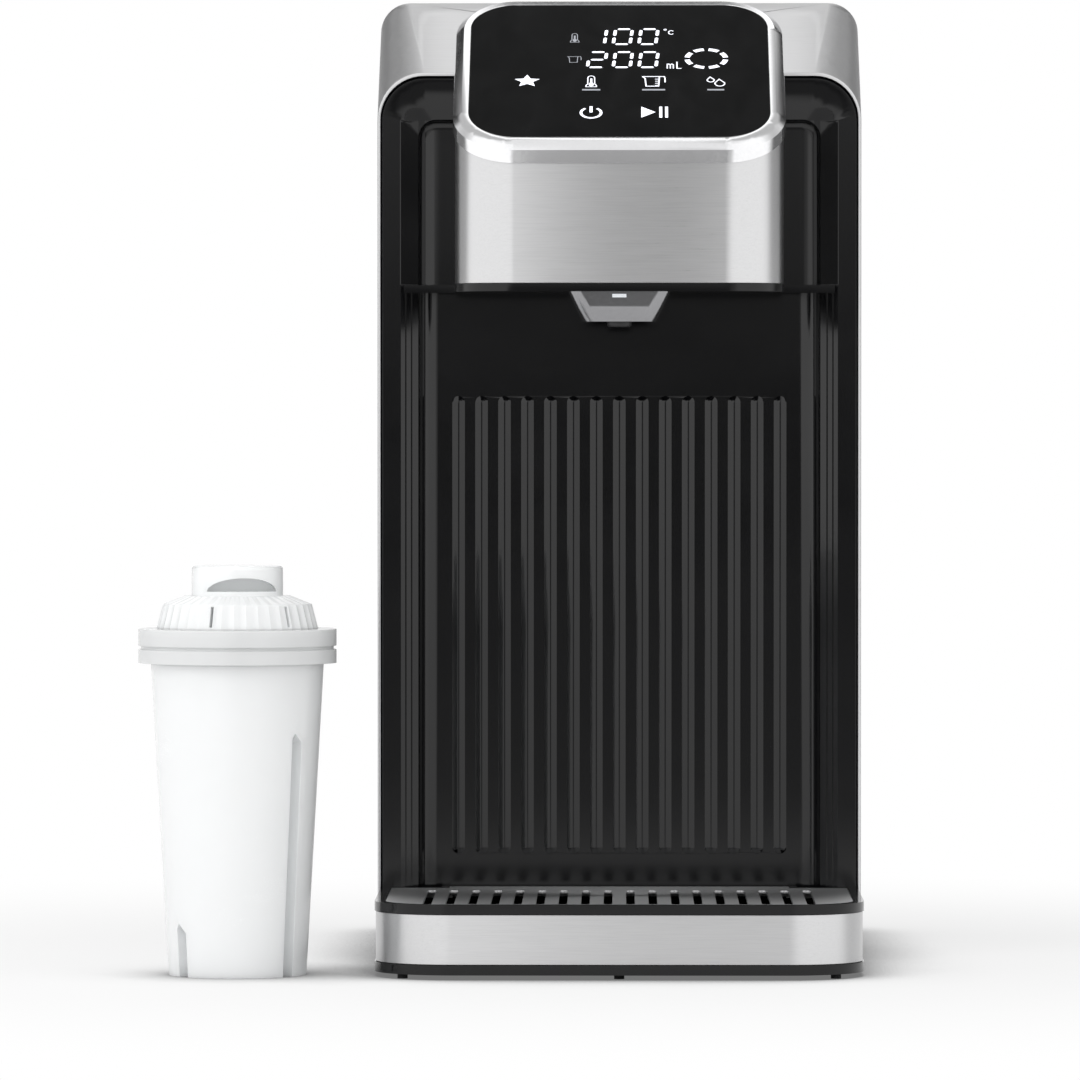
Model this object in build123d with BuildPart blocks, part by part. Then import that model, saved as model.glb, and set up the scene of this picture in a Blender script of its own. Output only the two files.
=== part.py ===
"""Countertop instant hot water dispenser with a lift-off rear tank and a filter cartridge.

Millimetres. X runs to the right, the front faces -Y and Z is up. The origin lies on the counter,
under the middle of the machine.
"""

from build123d import *
from math import cos, radians, sin, tan
import os

os.makedirs("parts", exist_ok=True)

# Driving dimensions of the machine
body_width = 160.5
body_height = 319.6
tray_depth = 100.0
tower_depth = 84.0
tank_depth = 89.0
slope_angle = 30.0
slope_run = 43.5
foot_height = 1.6
deck_height = 22.0

# Clearances
fit_gap = 0.15      # between pieces that are fixed together
body_gap = 0.3      # between pieces that move apart
tank_gap = 1.0      # between the tower and the tank
shaft_gap = 0.05    # round a shaft or a hinge pin
overrun = 5.0       # a cut runs this far past the face that it leaves
tiny = 0.02         # reach of a search for edges on a plane

# Steel shell
shell_wall = 1.0
shell_foot = 5.0
shell_front_radius = 15.5
shell_rear_radius = 10.0
display_opening_side_inset = 10.7
display_opening_length = 38.0
display_opening_below_crest = 7.5
display_opening_radius = 5.0

# Front fascia
fascia_chamfer = 0.7
side_border = 6.6
top_border = 6.1
opening_radius = 8.3
step_depth = 4.0
step_width = 5.7
groove_insets = (1.6, 3.5)
groove_width = 0.45
groove_depth = 0.45
cove_radius = 7.0
fascia_wall = 2.5
panel_depth = 7.5
panel_height = 55.0
panel_radius = 6.0
panel_fillet = 3.2
rib_count = 15
ribs_side_inset = 13.25
rib_width = 4.2
rib_height = 1.2
rib_slope_width = 1.6
rib_slope_height = 0.8
rib_foot = 34.8
rib_below_head = 34.2
post_radius = 3.5
post_inset = 7.5
post_above_deck = 78.0
post_below_crest = 39.6
window_width = 52.0
window_height = 30.0
window_radius = 4.0

# Head: an overhanging housing with a sloping touch panel
head_drop = 98.1
head_plate = 2.6
head_wall = 2.2
lip_proud = 0.4
cover_wall = 0.8
cover_gap = 0.1
bezel_side_gap = 12.1
bezel_overhang = 46.9
bezel_radius = 20.3
bezel_proud = 2.0
bezel_height = 6.1
bezel_bevel = 2.8
bezel_bevel_drop = 1.9
bezel_ring = 2.2
bezel_ledge = 2.0
bezel_below_crest = 0.3
bezel_over_cover = 0.7
glass_thickness = 1.2
glass_sunk = 0.15

# Boards under the glass
board_thickness = 1.6
touch_board_side_inset = 11.7
touch_board_length = 36.0
touch_board_below_crest = 55.0
display_board_side_inset = 14.7
display_board_length = 32.0
display_board_below_crest = 10.0
board_radius = 2.0
touch_chips = 3
display_chips = 3
chip_size = 7.0
chip_height = 1.4
chip_pitch = 20.0
connector_length = 14.0
connector_width = 5.0
connector_height = 6.0
connector_inset = 8.0

# Nozzle and steam separator
nozzle_behind_front = 17.2
shroud_top_width = 33.3
shroud_top_depth = 19.0
shroud_break_width = 28.4
shroud_break_depth = 18.0
shroud_break_below_top = 5.3
shroud_foot_width = 24.0
shroud_foot_depth = 13.0
shroud_height = 9.8
shroud_radius = 4.5
shroud_wall = 1.6
tip_radius = 4.0
tip_drop = 1.8
tip_flange_radius = 6.0
tip_flange = 1.2
tip_chamfer = 0.6
light_width = 4.6
light_height = 1.1
light_depth = 2.0
light_below_top = 0.8
separator_radius = 13.0
separator_height = 26.0
separator_wall = 1.6
separator_port_length = 8.0
separator_port_rise = 17.7
chimney_radius = 3.0
chimney_height = 4.5

# Water path
hose_radius = 3.5
hose_bore = 2.2
port_length = 8.0
outlet_bend = 14.0
outlet_turn_share = 0.56
inlet_bend = 8.0

# Heater and what sits on it
heater_offset = 32.0
heater_behind_fascia = 33.5
heater_foot = 80.0
heater_below_outlet = 43.0
heater_radius = 22.0
heater_shoulder = 4.0
heater_hose_bend = 18.0
bracket_plate = 3.0
bracket_width = 40.0
bracket_inset = 5.0
bracket_ring_height = 8.0
bracket_ring_wall = 3.0
bracket_ring_inset = 5.0
bracket_web = 14.0
thermostat_radius = 7.0
thermostat_length = 9.0
terminal_radius = 3.0
terminal_length = 7.0
terminal_offset = 12.0
blade_width = 6.3
blade_thickness = 0.8
blade_length = 7.0
sensor_radius = 2.5
sensor_length = 12.0
sensor_offset = 11.0

# Pump
pump_inset = 25.1
pump_behind_fascia = 37.5
mount_thickness = 4.0
mount_radius = 20.0
mount_hole = 10.0
pump_radius = 18.0
pump_height = 22.0
pump_floor = 2.0
chamber_radius = 13.0
chamber_height = 16.0
pump_inlet_height = 5.0
pump_inlet_offset = 10.0
pump_outlet_height = 15.0
pump_outlet_offset = 4.0
motor_radius = 14.0
motor_height = 42.0
motor_boss_radius = 5.0
motor_boss = 3.0
shaft_radius = 1.5
shaft_into_motor = 14.0
shaft_end_gap = 1.0
rotor_radius = 11.5
rotor_disc = 2.0
rotor_lift = 3.0
vane_count = 6
vane_height = 9.0
vane_thickness = 1.6
hub_radius = 3.5

# Flow meter
meter_width = 28.0
meter_depth = 30.0
meter_height = 14.0
meter_radius = 3.0
meter_left = 22.0
meter_inlet_offset = 6.0
meter_port_drop = 5.0
meter_floor = 4.0
meter_roof = 3.0
turbine_chamber = 9.0
turbine_radius = 8.5
turbine_hub = 2.5
turbine_gap = 0.4
turbine_vanes = 8
turbine_vane = 0.8
axle_radius = 0.8
axle_end = 2.0

# Power board
power_width = 65.0
power_height = 120.0
power_foot = 110.0
power_inset = 11.5
standoff_length = 8.0
standoff_radius = 3.5
standoff_inset = 5.0
transformer_size = (26.0, 16.0, 24.0)
transformer_up = 24.0
capacitor_count = 3
capacitor_radius = 6.0
capacitor_height = 14.0
capacitor_pitch = 16.0
capacitor_up = 55.0
relay_size = (15.0, 12.0, 20.0)
relay_count = 2
relay_up = 82.0
relay_pitch = 24.0
terminal_block_size = (44.0, 9.0, 8.0)
terminal_block_up = 106.0

# Rear cover
rear_wall = 2.0
rear_rim = 8.0
screw_head_radius = 2.8
screw_head = 1.1
screw_radius = 1.25
screw_length = 12.0
screw_sunk = 0.1

# Base
bottom_plate = 2.0
chassis_wall = 2.5
deck_thickness = 2.5
base_radius = 18.0
well_radius = 17.0
well_wall = 2.0
well_floor = 11.0
boss_radius = 4.0
base_screw_radius = 1.5
base_screw_head = 3.0
base_screw_length = 10.0
base_screw_head_height = 1.1
base_screw_side_inset = 11.1
base_screw_inset = 12.0
base_screw_rear_inset = 38.0
vent_length = 30.0
vent_width = 3.0
vent_pitch = 8.0
vent_count = 5
vent_behind_pump = 12.0
strip_foot_side_inset = 24.1
strip_foot_width = 12.0
pad_foot_radius = 8.0
pad_foot_side_inset = 19.1
pad_foot_inset = 19.0
gland_side_inset = 29.1
gland_height = 12.0
gland_radius = 6.0
gland_flange = 1.2
gland_flange_radius = 7.5
gland_bore = 3.5
gland_length = 12.0

# Docking spigot and seal
spigot_height = 7.4
spigot_stem_radius = 6.0
spigot_flange_radius = 9.0
spigot_flange = 1.5
spigot_radius = 4.0
spigot_rise = 4.5
spigot_pin_radius = 1.2
spigot_web = 0.8
spigot_port_end = 16.0
seal_radius = 9.0
seal_height = 2.7

# Drip tray
tray_front_radius = 25.0
rim_foot_height = 3.2
band_height = 16.3
rim_top_height = 3.1
rim_proud = 0.4
band_wall = 0.8
band_gap = 0.1
tray_wall = 6.2
tray_floor = 2.4
tongue_side_gap = 7.8
tongue_length = 10.0
tongue_radius = 3.0
tongue_foot = 5.0
tongue_wall = 2.4
grid_seat_depth = 3.7
grid_ledge = 1.0
peg_radius = 1.65
peg_side_inset = 9.4
peg_behind_front = 11.0
middle_peg_behind_front = 8.0
rear_pad_radius = 4.0
rear_pad_side_inset = 19.1
rear_pad_inset = 14.0

# Drip grid
grid_inset = 3.55
grid_gap = 0.2
grid_plate = 1.0
grid_lip = 3.2
grid_lip_wall = 1.0
grid_below_rim = 0.2
slot_count = 18
slots_side_inset = 17.3
slot_width = 2.8
slot_length = 76.0
slot_behind_front = 8.2

# Water tank
tank_side_inset = 4.25
tank_below_crest = 9.6
tank_wall = 2.2
tank_rear_radius = 18.0
tank_front_radius = 4.0
mark_length = 12.0
mark_height = 0.8
mark_proud = 0.5
mark_heights = (60.0, 120.0, 170.0)
mark_inset = 26.0

# Hopper in the tank's mouth, with the socket for the filter
hopper_flange = 2.2
hopper_side_inset = 6.0
hopper_front_inset = 5.0
hopper_rear_inset = 10.0
hopper_radius = 12.0
hopper_wall = 2.0
hopper_depth = 120.0
socket_radius = 29.2
socket_wall = 2.0
socket_depth = 14.0

# Lid and its hinge
lid_thickness = 3.5
lid_side_inset = 5.8
lid_front_inset = 2.3
lid_front_radius = 6.0
hinge_inset = 6.0
pin_radius = 1.2
pin_length = 3.1
ear_thickness = 3.0
ear_radius = 3.4
scoop_length = 30.0
scoop_width = 9.0
scoop_depth = 1.4
scoop_inset = 10.0

# Valve in the tank's floor
neck_radius = 11.0
neck_drop = 4.8
neck_passage = 6.0
valve_flange_radius = 15.0
valve_flange = 2.0
cage_radius = 10.0
cage_bore = 8.0
cage_height = 9.5
cage_roof = 1.5
cage_window = 6.0
seat_bore = 4.5
seat_below_floor = 2.0
seat_thickness = 1.5
poppet_head_radius = 6.5
poppet_head = 2.0
poppet_stem_radius = 2.5
poppet_guide_radius = 1.5
poppet_guide_length = 13.2
spring_radius = 3.6
spring_wire = 0.4
spring_turns = 5
spring_sides = 6

# Filter cartridge, standing beside the machine
filter_offset = 123.6
filter_behind_front = 29.0
filter_foot_radius = 22.3
filter_top_radius = 28.0
filter_body_height = 101.0
filter_flange_radius = 32.1
filter_groove_radius = 31.2
filter_flange_height = 11.0
filter_flange_foot = 4.4
filter_flange_groove = 1.2
filter_wall_foot = 6.6
filter_wall_top = 2.6
filter_floor = 7.0
filter_widening_height = 90.0
flute_width = 4.4
flute_depth = 4.4
flute_angle = 49.0
flute_slant = 3.0
flute_tip_share = 0.5
short_flute = 17.5
long_flute = 79.0
cap_foot_radius = 26.2
cap_shoulder_radius = 24.1
cap_top_radius = 17.0
cap_shoulder_height = 8.0
cap_height = 10.8
cap_ribs = 40
cap_rib_depth = 0.6
cap_cavity_radius = 21.5
cap_cavity_height = 7.0
vent_slots = 6
vent_slot_width = 0.9
vent_slot_depth = 6.0
vent_slot_height = 6.5
vent_slot_foot = 1.0
vent_slot_turn = 17.0
knob_radius = 14.8
knob_height = 9.6
knob_rounding = 1.2
grip_width = 22.6
grip_height = 4.4
grip_foot = 1.4
grip_depth = 9.0
grip_turn = 11.0

# Places that follow from the sizes
total_depth = tray_depth + tower_depth + tank_gap + tank_depth
front_y = -total_depth / 2
tower_front_y = front_y + tray_depth
tower_rear_y = tower_front_y + tower_depth
tank_front_y = tower_rear_y + tank_gap
tank_rear_y = tank_front_y + tank_depth
crest_y = tower_front_y + slope_run
slope_cos = cos(radians(slope_angle))
slope_tan = tan(radians(slope_angle))
front_height = body_height - slope_run * slope_tan
core_width = body_width - 2 * (shell_wall + fit_gap)
plate_top = foot_height + bottom_plate
opening_half_width = core_width / 2 - side_border
step_half_width = opening_half_width - step_width
fascia_height = front_height - (shell_wall + fit_gap) / slope_cos
opening_top = fascia_height - top_border
step_y = tower_front_y + step_depth
step_slope = step_depth / step_width
channel_back_y = step_y + cove_radius
panel_y = tower_front_y + panel_depth
fascia_back_y = channel_back_y + fascia_wall
half_width = core_width / 2
bezel_width = 2 * (step_half_width - bezel_side_gap)
display_opening_width = bezel_width - 2 * display_opening_side_inset
touch_board_width = bezel_width - 2 * touch_board_side_inset
display_board_width = bezel_width - 2 * display_board_side_inset
rib_pitch = 2 * (step_half_width - ribs_side_inset) / (rib_count - 1)
slot_pitch = 2 * (half_width - slots_side_inset) / (slot_count - 1)
head_foot = body_height - head_drop
cover_foot = head_foot + head_plate
panel_top = cover_foot + panel_height
rib_top = head_foot - rib_below_head
separator_foot = cover_foot + tip_flange
outlet_height = separator_foot + separator_port_rise
heater_x = -heater_offset
heater_top = outlet_height - heater_below_outlet
heater_length = heater_top - heater_foot
heater_middle = heater_foot + heater_length / 2
bracket_foot = heater_foot + bracket_inset
bracket_height = heater_length - 2 * bracket_inset
pump_x = half_width - pump_inset
power_right = half_width - power_inset
gland_x = half_width - gland_side_inset
tongue_half_width = step_half_width - tongue_side_gap
head_front_y = tower_front_y - bezel_overhang
cover_front_y = head_front_y + bezel_over_cover
nozzle_y = cover_front_y + nozzle_behind_front
heater_y = fascia_back_y + heater_behind_fascia
pump_y = fascia_back_y + pump_behind_fascia
rear_cover_front_y = tower_rear_y - rear_wall
dock_y = (tank_front_y + tank_rear_y) / 2
tray_rear_y = tower_front_y - body_gap
rim_top = foot_height + rim_foot_height + band_height + rim_top_height
pump_foot = deck_height + mount_thickness
tank_foot = deck_height + body_gap
tank_top = body_height - tank_below_crest
tank_height = tank_top - tank_foot
tank_width = body_width - 2 * tank_side_inset
hopper_width = tank_width - 2 * hopper_side_inset
lid_width = tank_width - 2 * lid_side_inset
hopper_top = tank_top + hopper_flange
lid_foot = hopper_top + body_gap
hinge_y = tank_rear_y - hinge_inset
hinge_height = lid_foot + lid_thickness / 2
filter_x = -filter_offset
filter_y = front_y + filter_behind_front


def upright(y):
    """Plane at depth y that faces the front: sketch x is width and sketch y is height."""
    return Plane.XZ.offset(-y)


def level(z):
    """Horizontal plane at height z."""
    return Plane.XY.offset(z)


def sideways(x):
    """Plane at x that faces the right: sketch x is depth and sketch y is height."""
    return Plane.YZ.offset(x)


def slope_plane(rise):
    """Plane parallel to the sloping top, rise above it, measured upright."""
    normal = (0, -sin(radians(slope_angle)), slope_cos)
    return Plane(origin=(0, crest_y, body_height + rise), x_dir=(1, 0, 0), z_dir=normal)


def slope_height(y):
    """Height of the sloping top at depth y."""
    return body_height - (crest_y - y) * slope_tan


def arch(plane, width, foot, height, radius):
    """Arch that stands on foot, with straight sides and rounded top corners."""
    with BuildSketch(plane) as outline:
        with Locations((0, (foot + height) / 2)):
            Rectangle(width, height - foot)
        fillet(outline.vertices().group_by(Axis.Y)[-1], radius)
    return outline.sketch


def plan(plane, width, front, rear, front_radius=0, rear_radius=0):
    """Plan outline between two depths, with a corner radius of its own at each end."""
    with BuildSketch(plane) as outline:
        with Locations((0, (front + rear) / 2)):
            Rectangle(width, rear - front)
        if front_radius > 0:
            fillet(outline.vertices().group_by(Axis.Y)[0], front_radius)
        if rear_radius > 0:
            fillet(outline.vertices().group_by(Axis.Y)[-1], rear_radius)
    return outline.sketch


def sloped_slab(outline, low, high):
    """Prism over a plan outline, cut off by two planes parallel to the sloping top."""
    with BuildPart() as slab:
        extrude(outline, amount=2 * body_height)
        split(bisect_by=slope_plane(high), keep=Keep.BOTTOM)
        split(bisect_by=slope_plane(low), keep=Keep.TOP)
    return slab.part


def channel(plane, gap):
    """Section of the coved recess in the fascia, drawn in from its walls by gap."""
    centre_x = step_half_width - cove_radius
    with BuildSketch(plane) as section:
        with BuildLine():
            Line((-step_half_width + gap, step_y), (step_half_width - gap, step_y))
            CenterArc((centre_x, step_y), cove_radius - gap, 0, 90)
            Line((centre_x, channel_back_y - gap), (-centre_x, channel_back_y - gap))
            CenterArc((-centre_x, step_y), cove_radius - gap, 90, 90)
        make_face()
    return section.sketch


def head_plan(plane, inset, rear):
    """Plan outline of the head, drawn in from the bezel's edge by inset."""
    front = head_front_y + inset
    return plan(plane, bezel_width - 2 * inset, front, rear, bezel_radius - inset)


def hose(points, bend):
    """Hose along straight runs joined by bends of one radius, with a bore all the way."""
    with BuildPart() as tube:
        with BuildLine() as path:
            if bend > 0:
                FilletPolyline(*points, radius=bend)
            else:
                Line(*points)
        run = path.wire()
        with BuildSketch(Plane(origin=run @ 0, z_dir=run % 0)):
            Circle(hose_radius)
            Circle(hose_bore, mode=Mode.SUBTRACT)
        sweep()
    return tube


# Steel shell: one sheet bent over both sides and the top, whose front part slopes down
with BuildPart() as steel_shell:
    loft(
        [
            arch(upright(tower_front_y), body_width, shell_foot, front_height, shell_front_radius),
            arch(upright(crest_y), body_width, shell_foot, body_height, shell_rear_radius),
        ],
        ruled=True,
    )
    extrude(
        arch(upright(crest_y), body_width, shell_foot, body_height, shell_rear_radius),
        amount=crest_y - tower_rear_y,
    )
    inner_width = body_width - 2 * shell_wall
    inner_height = body_height - shell_wall
    inner_rear_radius = shell_rear_radius - shell_wall
    loft(
        [
            arch(
                upright(tower_front_y),
                inner_width,
                shell_foot - overrun,
                front_height - shell_wall / slope_cos,
                shell_front_radius - shell_wall,
            ),
            arch(upright(crest_y), inner_width, shell_foot - overrun, inner_height, inner_rear_radius),
        ],
        ruled=True,
        mode=Mode.SUBTRACT,
    )
    extrude(
        arch(upright(crest_y), inner_width, shell_foot - overrun, inner_height, inner_rear_radius),
        amount=crest_y - tower_rear_y,
        mode=Mode.SUBTRACT,
    )
    with BuildSketch(slope_plane(0)):
        with Locations((0, -display_opening_below_crest - display_opening_length / 2)):
            RectangleRounded(display_opening_width, display_opening_length, display_opening_radius)
    extrude(amount=2 * shell_wall, both=True, mode=Mode.SUBTRACT)
steel_shell.part.label = "steel_shell"
export_step(steel_shell.part, "parts/steel_shell.step")

# Pocket of the panel behind the head, whose floor runs into its walls in a cove
with BuildPart() as panel_pocket:
    extrude(
        arch(
            upright(tower_front_y),
            2 * step_half_width,
            cover_foot,
            panel_top,
            panel_radius,
        ),
        amount=-panel_depth,
    )
    pocket_floor = panel_pocket.faces().sort_by(Axis.Y)[-1]
    floor_foot = pocket_floor.edges().sort_by(Axis.Z)[0]
    fillet(pocket_floor.edges() - [floor_foot], panel_fillet)

# One rib of the back wall, sloping on both sides to a narrow flat crest, with round ends
with BuildPart() as rib:
    with BuildSketch(upright(channel_back_y)):
        with Locations((0, (rib_foot + rib_top) / 2)):
            SlotOverall(rib_top - rib_foot, rib_width, rotation=90)
    extrude(amount=rib_height)
    rib_crest = rib.faces().sort_by(Axis.Y)[0]
    chamfer(rib_crest.edges(), rib_slope_width, rib_slope_height, reference=rib_crest)

# Front fascia: border, step, coved channel with ribs, and the shallower panel behind the head
with BuildPart() as front_fascia:
    extrude(
        arch(
            upright(tower_front_y),
            core_width,
            plate_top,
            fascia_height,
            shell_front_radius - shell_wall - fit_gap,
        ),
        amount=tower_front_y - fascia_back_y,
    )
    front_face = front_fascia.faces().sort_by(Axis.Y)[0]
    chamfer(front_face.edges().filter_by(Axis.X, reverse=True), fascia_chamfer)
    loft(
        [
            arch(
                upright(tower_front_y),
                2 * opening_half_width,
                plate_top - overrun,
                opening_top,
                opening_radius,
            ),
            arch(
                upright(step_y),
                2 * step_half_width,
                plate_top - overrun,
                panel_top,
                panel_radius,
            ),
        ],
        ruled=True,
        mode=Mode.SUBTRACT,
    )
    extrude(
        channel(level(plate_top - overrun), 0),
        amount=cover_foot - plate_top + overrun,
        mode=Mode.SUBTRACT,
    )
    add(panel_pocket.part, mode=Mode.SUBTRACT)
    for groove_inset in groove_insets:
        groove_bottom = groove_inset * step_slope + groove_depth
        with BuildSketch(upright(tower_front_y)):
            with Locations((0, (plate_top + head_foot) / 2)):
                with GridLocations(2 * (opening_half_width - groove_inset), 0, 2, 1):
                    Rectangle(groove_width, head_foot - plate_top)
        extrude(amount=-groove_bottom, mode=Mode.SUBTRACT)
    with GridLocations(rib_pitch, 0, rib_count, 1):
        add(rib.part)
    with BuildSketch(upright(panel_y)):
        with Locations((0, outlet_height)):
            RectangleRounded(window_width, window_height, window_radius)
    extrude(amount=panel_y - fascia_back_y, mode=Mode.SUBTRACT)
    post_heights = (deck_height + post_above_deck, body_height - post_below_crest)
    post_places = [
        (side * (half_width - post_inset), height) for side in (-1, 1) for height in post_heights
    ]
    with BuildSketch(upright(fascia_back_y)):
        with Locations(post_places):
            Circle(post_radius)
    extrude(amount=fascia_back_y - rear_cover_front_y)
    with BuildSketch(upright(rear_cover_front_y)):
        with Locations(post_places):
            Circle(screw_radius + shaft_gap)
    extrude(amount=screw_length, mode=Mode.SUBTRACT)
front_fascia.part.label = "front_fascia"
export_step(front_fascia.part, "parts/front_fascia.step")

# Bezel: bright ring with a wide bevel, whose rear part lies on the sloping top of the shell
bezel_rear_y = crest_y - bezel_below_crest
bezel_foot_rise = bezel_proud - bezel_height
with BuildPart() as panel_bezel:
    add(
        sloped_slab(
            plan(
                level(0), bezel_width, head_front_y, bezel_rear_y, bezel_radius, bezel_radius
            ),
            bezel_foot_rise,
            bezel_proud,
        )
    )
    top_face = panel_bezel.faces().filter_by(slope_plane(0)).sort_by(Axis.Z)[-1]
    chamfer(
        top_face.edges(), length=bezel_bevel, length2=bezel_bevel_drop, reference=top_face
    )
    seat_front_y = tower_front_y - body_gap
    with BuildSketch(Plane.YZ):
        Polygon(
            (seat_front_y, slope_height(seat_front_y)),
            (crest_y + overrun, slope_height(crest_y + overrun)),
            (crest_y + overrun, cover_foot),
            (seat_front_y, cover_foot),
            align=None,
        )
    extrude(amount=bezel_width, both=True, mode=Mode.SUBTRACT)
    glass_inset = bezel_bevel + bezel_ring
    glass_bottom = bezel_proud - glass_sunk - glass_thickness
    inset_depth = glass_inset * slope_cos
    add(
        sloped_slab(
            plan(
                level(0),
                bezel_width - 2 * glass_inset,
                head_front_y + inset_depth,
                bezel_rear_y - inset_depth,
                bezel_radius - glass_inset,
                bezel_radius - glass_inset,
            ),
            glass_bottom,
            overrun,
        ),
        mode=Mode.SUBTRACT,
    )
    hole_inset = glass_inset + bezel_ledge
    hole_depth = hole_inset * slope_cos
    hole_outline = plan(
        level(0),
        bezel_width - 2 * hole_inset,
        head_front_y + hole_depth,
        bezel_rear_y - hole_depth,
        bezel_radius - hole_inset,
        bezel_radius - hole_inset,
    )
    extrude(hole_outline, amount=2 * body_height, mode=Mode.SUBTRACT)
panel_bezel.part.label = "panel_bezel"
export_step(panel_bezel.part, "parts/panel_bezel.step")

# Display glass, sunk a little below the ring
glass_edge = glass_inset + fit_gap
glass_edge_depth = glass_edge * slope_cos
with BuildPart() as display_glass:
    add(
        sloped_slab(
            plan(
                level(0),
                bezel_width - 2 * glass_edge,
                head_front_y + glass_edge_depth,
                bezel_rear_y - glass_edge_depth,
                bezel_radius - glass_edge,
                bezel_radius - glass_edge,
            ),
            glass_bottom,
            bezel_proud - glass_sunk,
        )
    )
display_glass.part.label = "display_glass"
export_step(display_glass.part, "parts/display_glass.step")


def board(width, length, below_crest, chips):
    """Circuit board against the back of the glass, with chips and a connector underneath."""
    middle = -below_crest - length / 2
    with BuildPart() as assembly:
        with BuildSketch(slope_plane(glass_bottom)):
            with Locations((0, middle)):
                RectangleRounded(width, length, board_radius)
        extrude(amount=-board_thickness)
        with BuildSketch(slope_plane(glass_bottom).offset(-board_thickness)):
            with Locations((0, middle)):
                with GridLocations(chip_pitch, 0, chips, 1):
                    Rectangle(chip_size, chip_size)
        extrude(amount=-chip_height)
        with BuildSketch(slope_plane(glass_bottom).offset(-board_thickness)):
            with Locations((width / 2 - connector_length / 2 - connector_inset, middle)):
                Rectangle(connector_length, connector_width)
        extrude(amount=-connector_height)
    return assembly


# Touch board in the head and display board in the opening of the shell
touch_board = board(touch_board_width, touch_board_length, touch_board_below_crest, touch_chips)
touch_board.part.label = "touch_board"
export_step(touch_board.part, "parts/touch_board.step")

display_board = board(
    display_board_width, display_board_length, display_board_below_crest, display_chips
)
display_board.part.label = "display_board"
export_step(display_board.part, "parts/display_board.step")


def behind_front():
    """Section of what lies behind the top border and the step of the fascia, with a gap."""
    front = tower_front_y - body_gap
    step_front = step_y - body_gap
    step_foot = panel_top - panel_fillet
    with BuildSketch(Plane.YZ) as section:
        Polygon(
            (front, body_height),
            (front, opening_top - 2 * body_gap),
            (step_front, panel_top - 2 * body_gap),
            (step_front, step_foot),
            (tower_rear_y, step_foot),
            (tower_rear_y, body_height),
            align=None,
        )
    return section.sketch


# Head cover: a steel sheet bent round the front and sides of the head
cover_inset = bezel_over_cover
with BuildPart() as head_cover:
    extrude(head_plan(level(cover_foot), cover_inset, panel_y - fit_gap), amount=body_height)
    extrude(
        head_plan(level(cover_foot), cover_inset + cover_wall, panel_y + overrun),
        amount=body_height,
        mode=Mode.SUBTRACT,
    )
    split(bisect_by=slope_plane(bezel_foot_rise), keep=Keep.BOTTOM)
    extrude(behind_front(), amount=bezel_width, both=True, mode=Mode.SUBTRACT)
head_cover.part.label = "head_cover"
export_step(head_cover.part, "parts/head_cover.step")

# Head body: walls inside the cover, on a plate that runs back into the recess
body_inset = cover_inset + cover_wall + cover_gap
with BuildPart() as head_body:
    extrude(head_plan(level(cover_foot), body_inset, panel_y - fit_gap), amount=body_height)
    extrude(
        head_plan(level(cover_foot), body_inset + head_wall, panel_y + overrun),
        amount=body_height,
        mode=Mode.SUBTRACT,
    )
    split(bisect_by=slope_plane(bezel_foot_rise), keep=Keep.BOTTOM)
    extrude(behind_front(), amount=bezel_width, both=True, mode=Mode.SUBTRACT)
    extrude(head_plan(level(head_foot), cover_inset - lip_proud, step_y), amount=head_plate)
    plate_front_half = opening_half_width - lip_proud / step_slope - 2 * fit_gap
    plate_rear_half = step_half_width - fit_gap
    with BuildSketch(level(head_foot)):
        Polygon(
            (-plate_front_half, tower_front_y + lip_proud),
            (plate_front_half, tower_front_y + lip_proud),
            (plate_rear_half, step_y - fit_gap),
            (plate_rear_half, step_y),
            (-plate_rear_half, step_y),
            (-plate_rear_half, step_y - fit_gap),
            align=None,
        )
    extrude(amount=head_plate)
    extrude(channel(level(head_foot), fit_gap), amount=head_plate)
    with BuildSketch(level(head_foot)):
        with Locations((0, nozzle_y)):
            Circle(tip_radius + fit_gap)
    extrude(amount=head_plate, mode=Mode.SUBTRACT)
head_body.part.label = "head_body"
export_step(head_body.part, "parts/head_body.step")

# Nozzle shroud: cup in two tapering tiers under the head, with a small light window in front
shroud_foot = head_foot - shroud_height
shroud_break = head_foot - shroud_break_below_top
light_top = head_foot - light_below_top


def shroud_outline(height, width, depth, inset):
    """Outline of the shroud at a height, drawn in by inset."""
    with BuildSketch(level(height)) as outline:
        with Locations((0, nozzle_y)):
            RectangleRounded(width - 2 * inset, depth - 2 * inset, shroud_radius - inset)
    return outline.sketch


light_front_y = nozzle_y - shroud_top_depth / 2
with BuildPart() as nozzle_shroud:
    loft(
        [
            shroud_outline(shroud_foot, shroud_foot_width, shroud_foot_depth, 0),
            shroud_outline(shroud_break, shroud_break_width, shroud_break_depth, 0),
            shroud_outline(head_foot, shroud_top_width, shroud_top_depth, 0),
        ],
        ruled=True,
    )
    loft(
        [
            shroud_outline(
                shroud_foot + shroud_wall, shroud_foot_width, shroud_foot_depth, shroud_wall
            ),
            shroud_outline(head_foot, shroud_top_width, shroud_top_depth, 2 * shroud_wall),
        ],
        ruled=True,
        mode=Mode.SUBTRACT,
    )
    with BuildSketch(level(shroud_foot)):
        with Locations((0, nozzle_y)):
            Circle(tip_radius + fit_gap)
    extrude(amount=shroud_wall, mode=Mode.SUBTRACT)
    with BuildSketch(upright(light_front_y)):
        with Locations((0, light_top - light_height / 2)):
            Rectangle(light_width + 2 * shaft_gap, light_height + 2 * shaft_gap)
    extrude(amount=-light_depth - fit_gap, mode=Mode.SUBTRACT)
nozzle_shroud.part.label = "nozzle_shroud"
export_step(nozzle_shroud.part, "parts/nozzle_shroud.step")

with BuildPart() as nozzle_light:
    with BuildSketch(upright(light_front_y)):
        with Locations((0, light_top - light_height / 2)):
            Rectangle(light_width, light_height)
    extrude(amount=-light_depth)
nozzle_light.part.label = "nozzle_light"
export_step(nozzle_light.part, "parts/nozzle_light.step")

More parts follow.
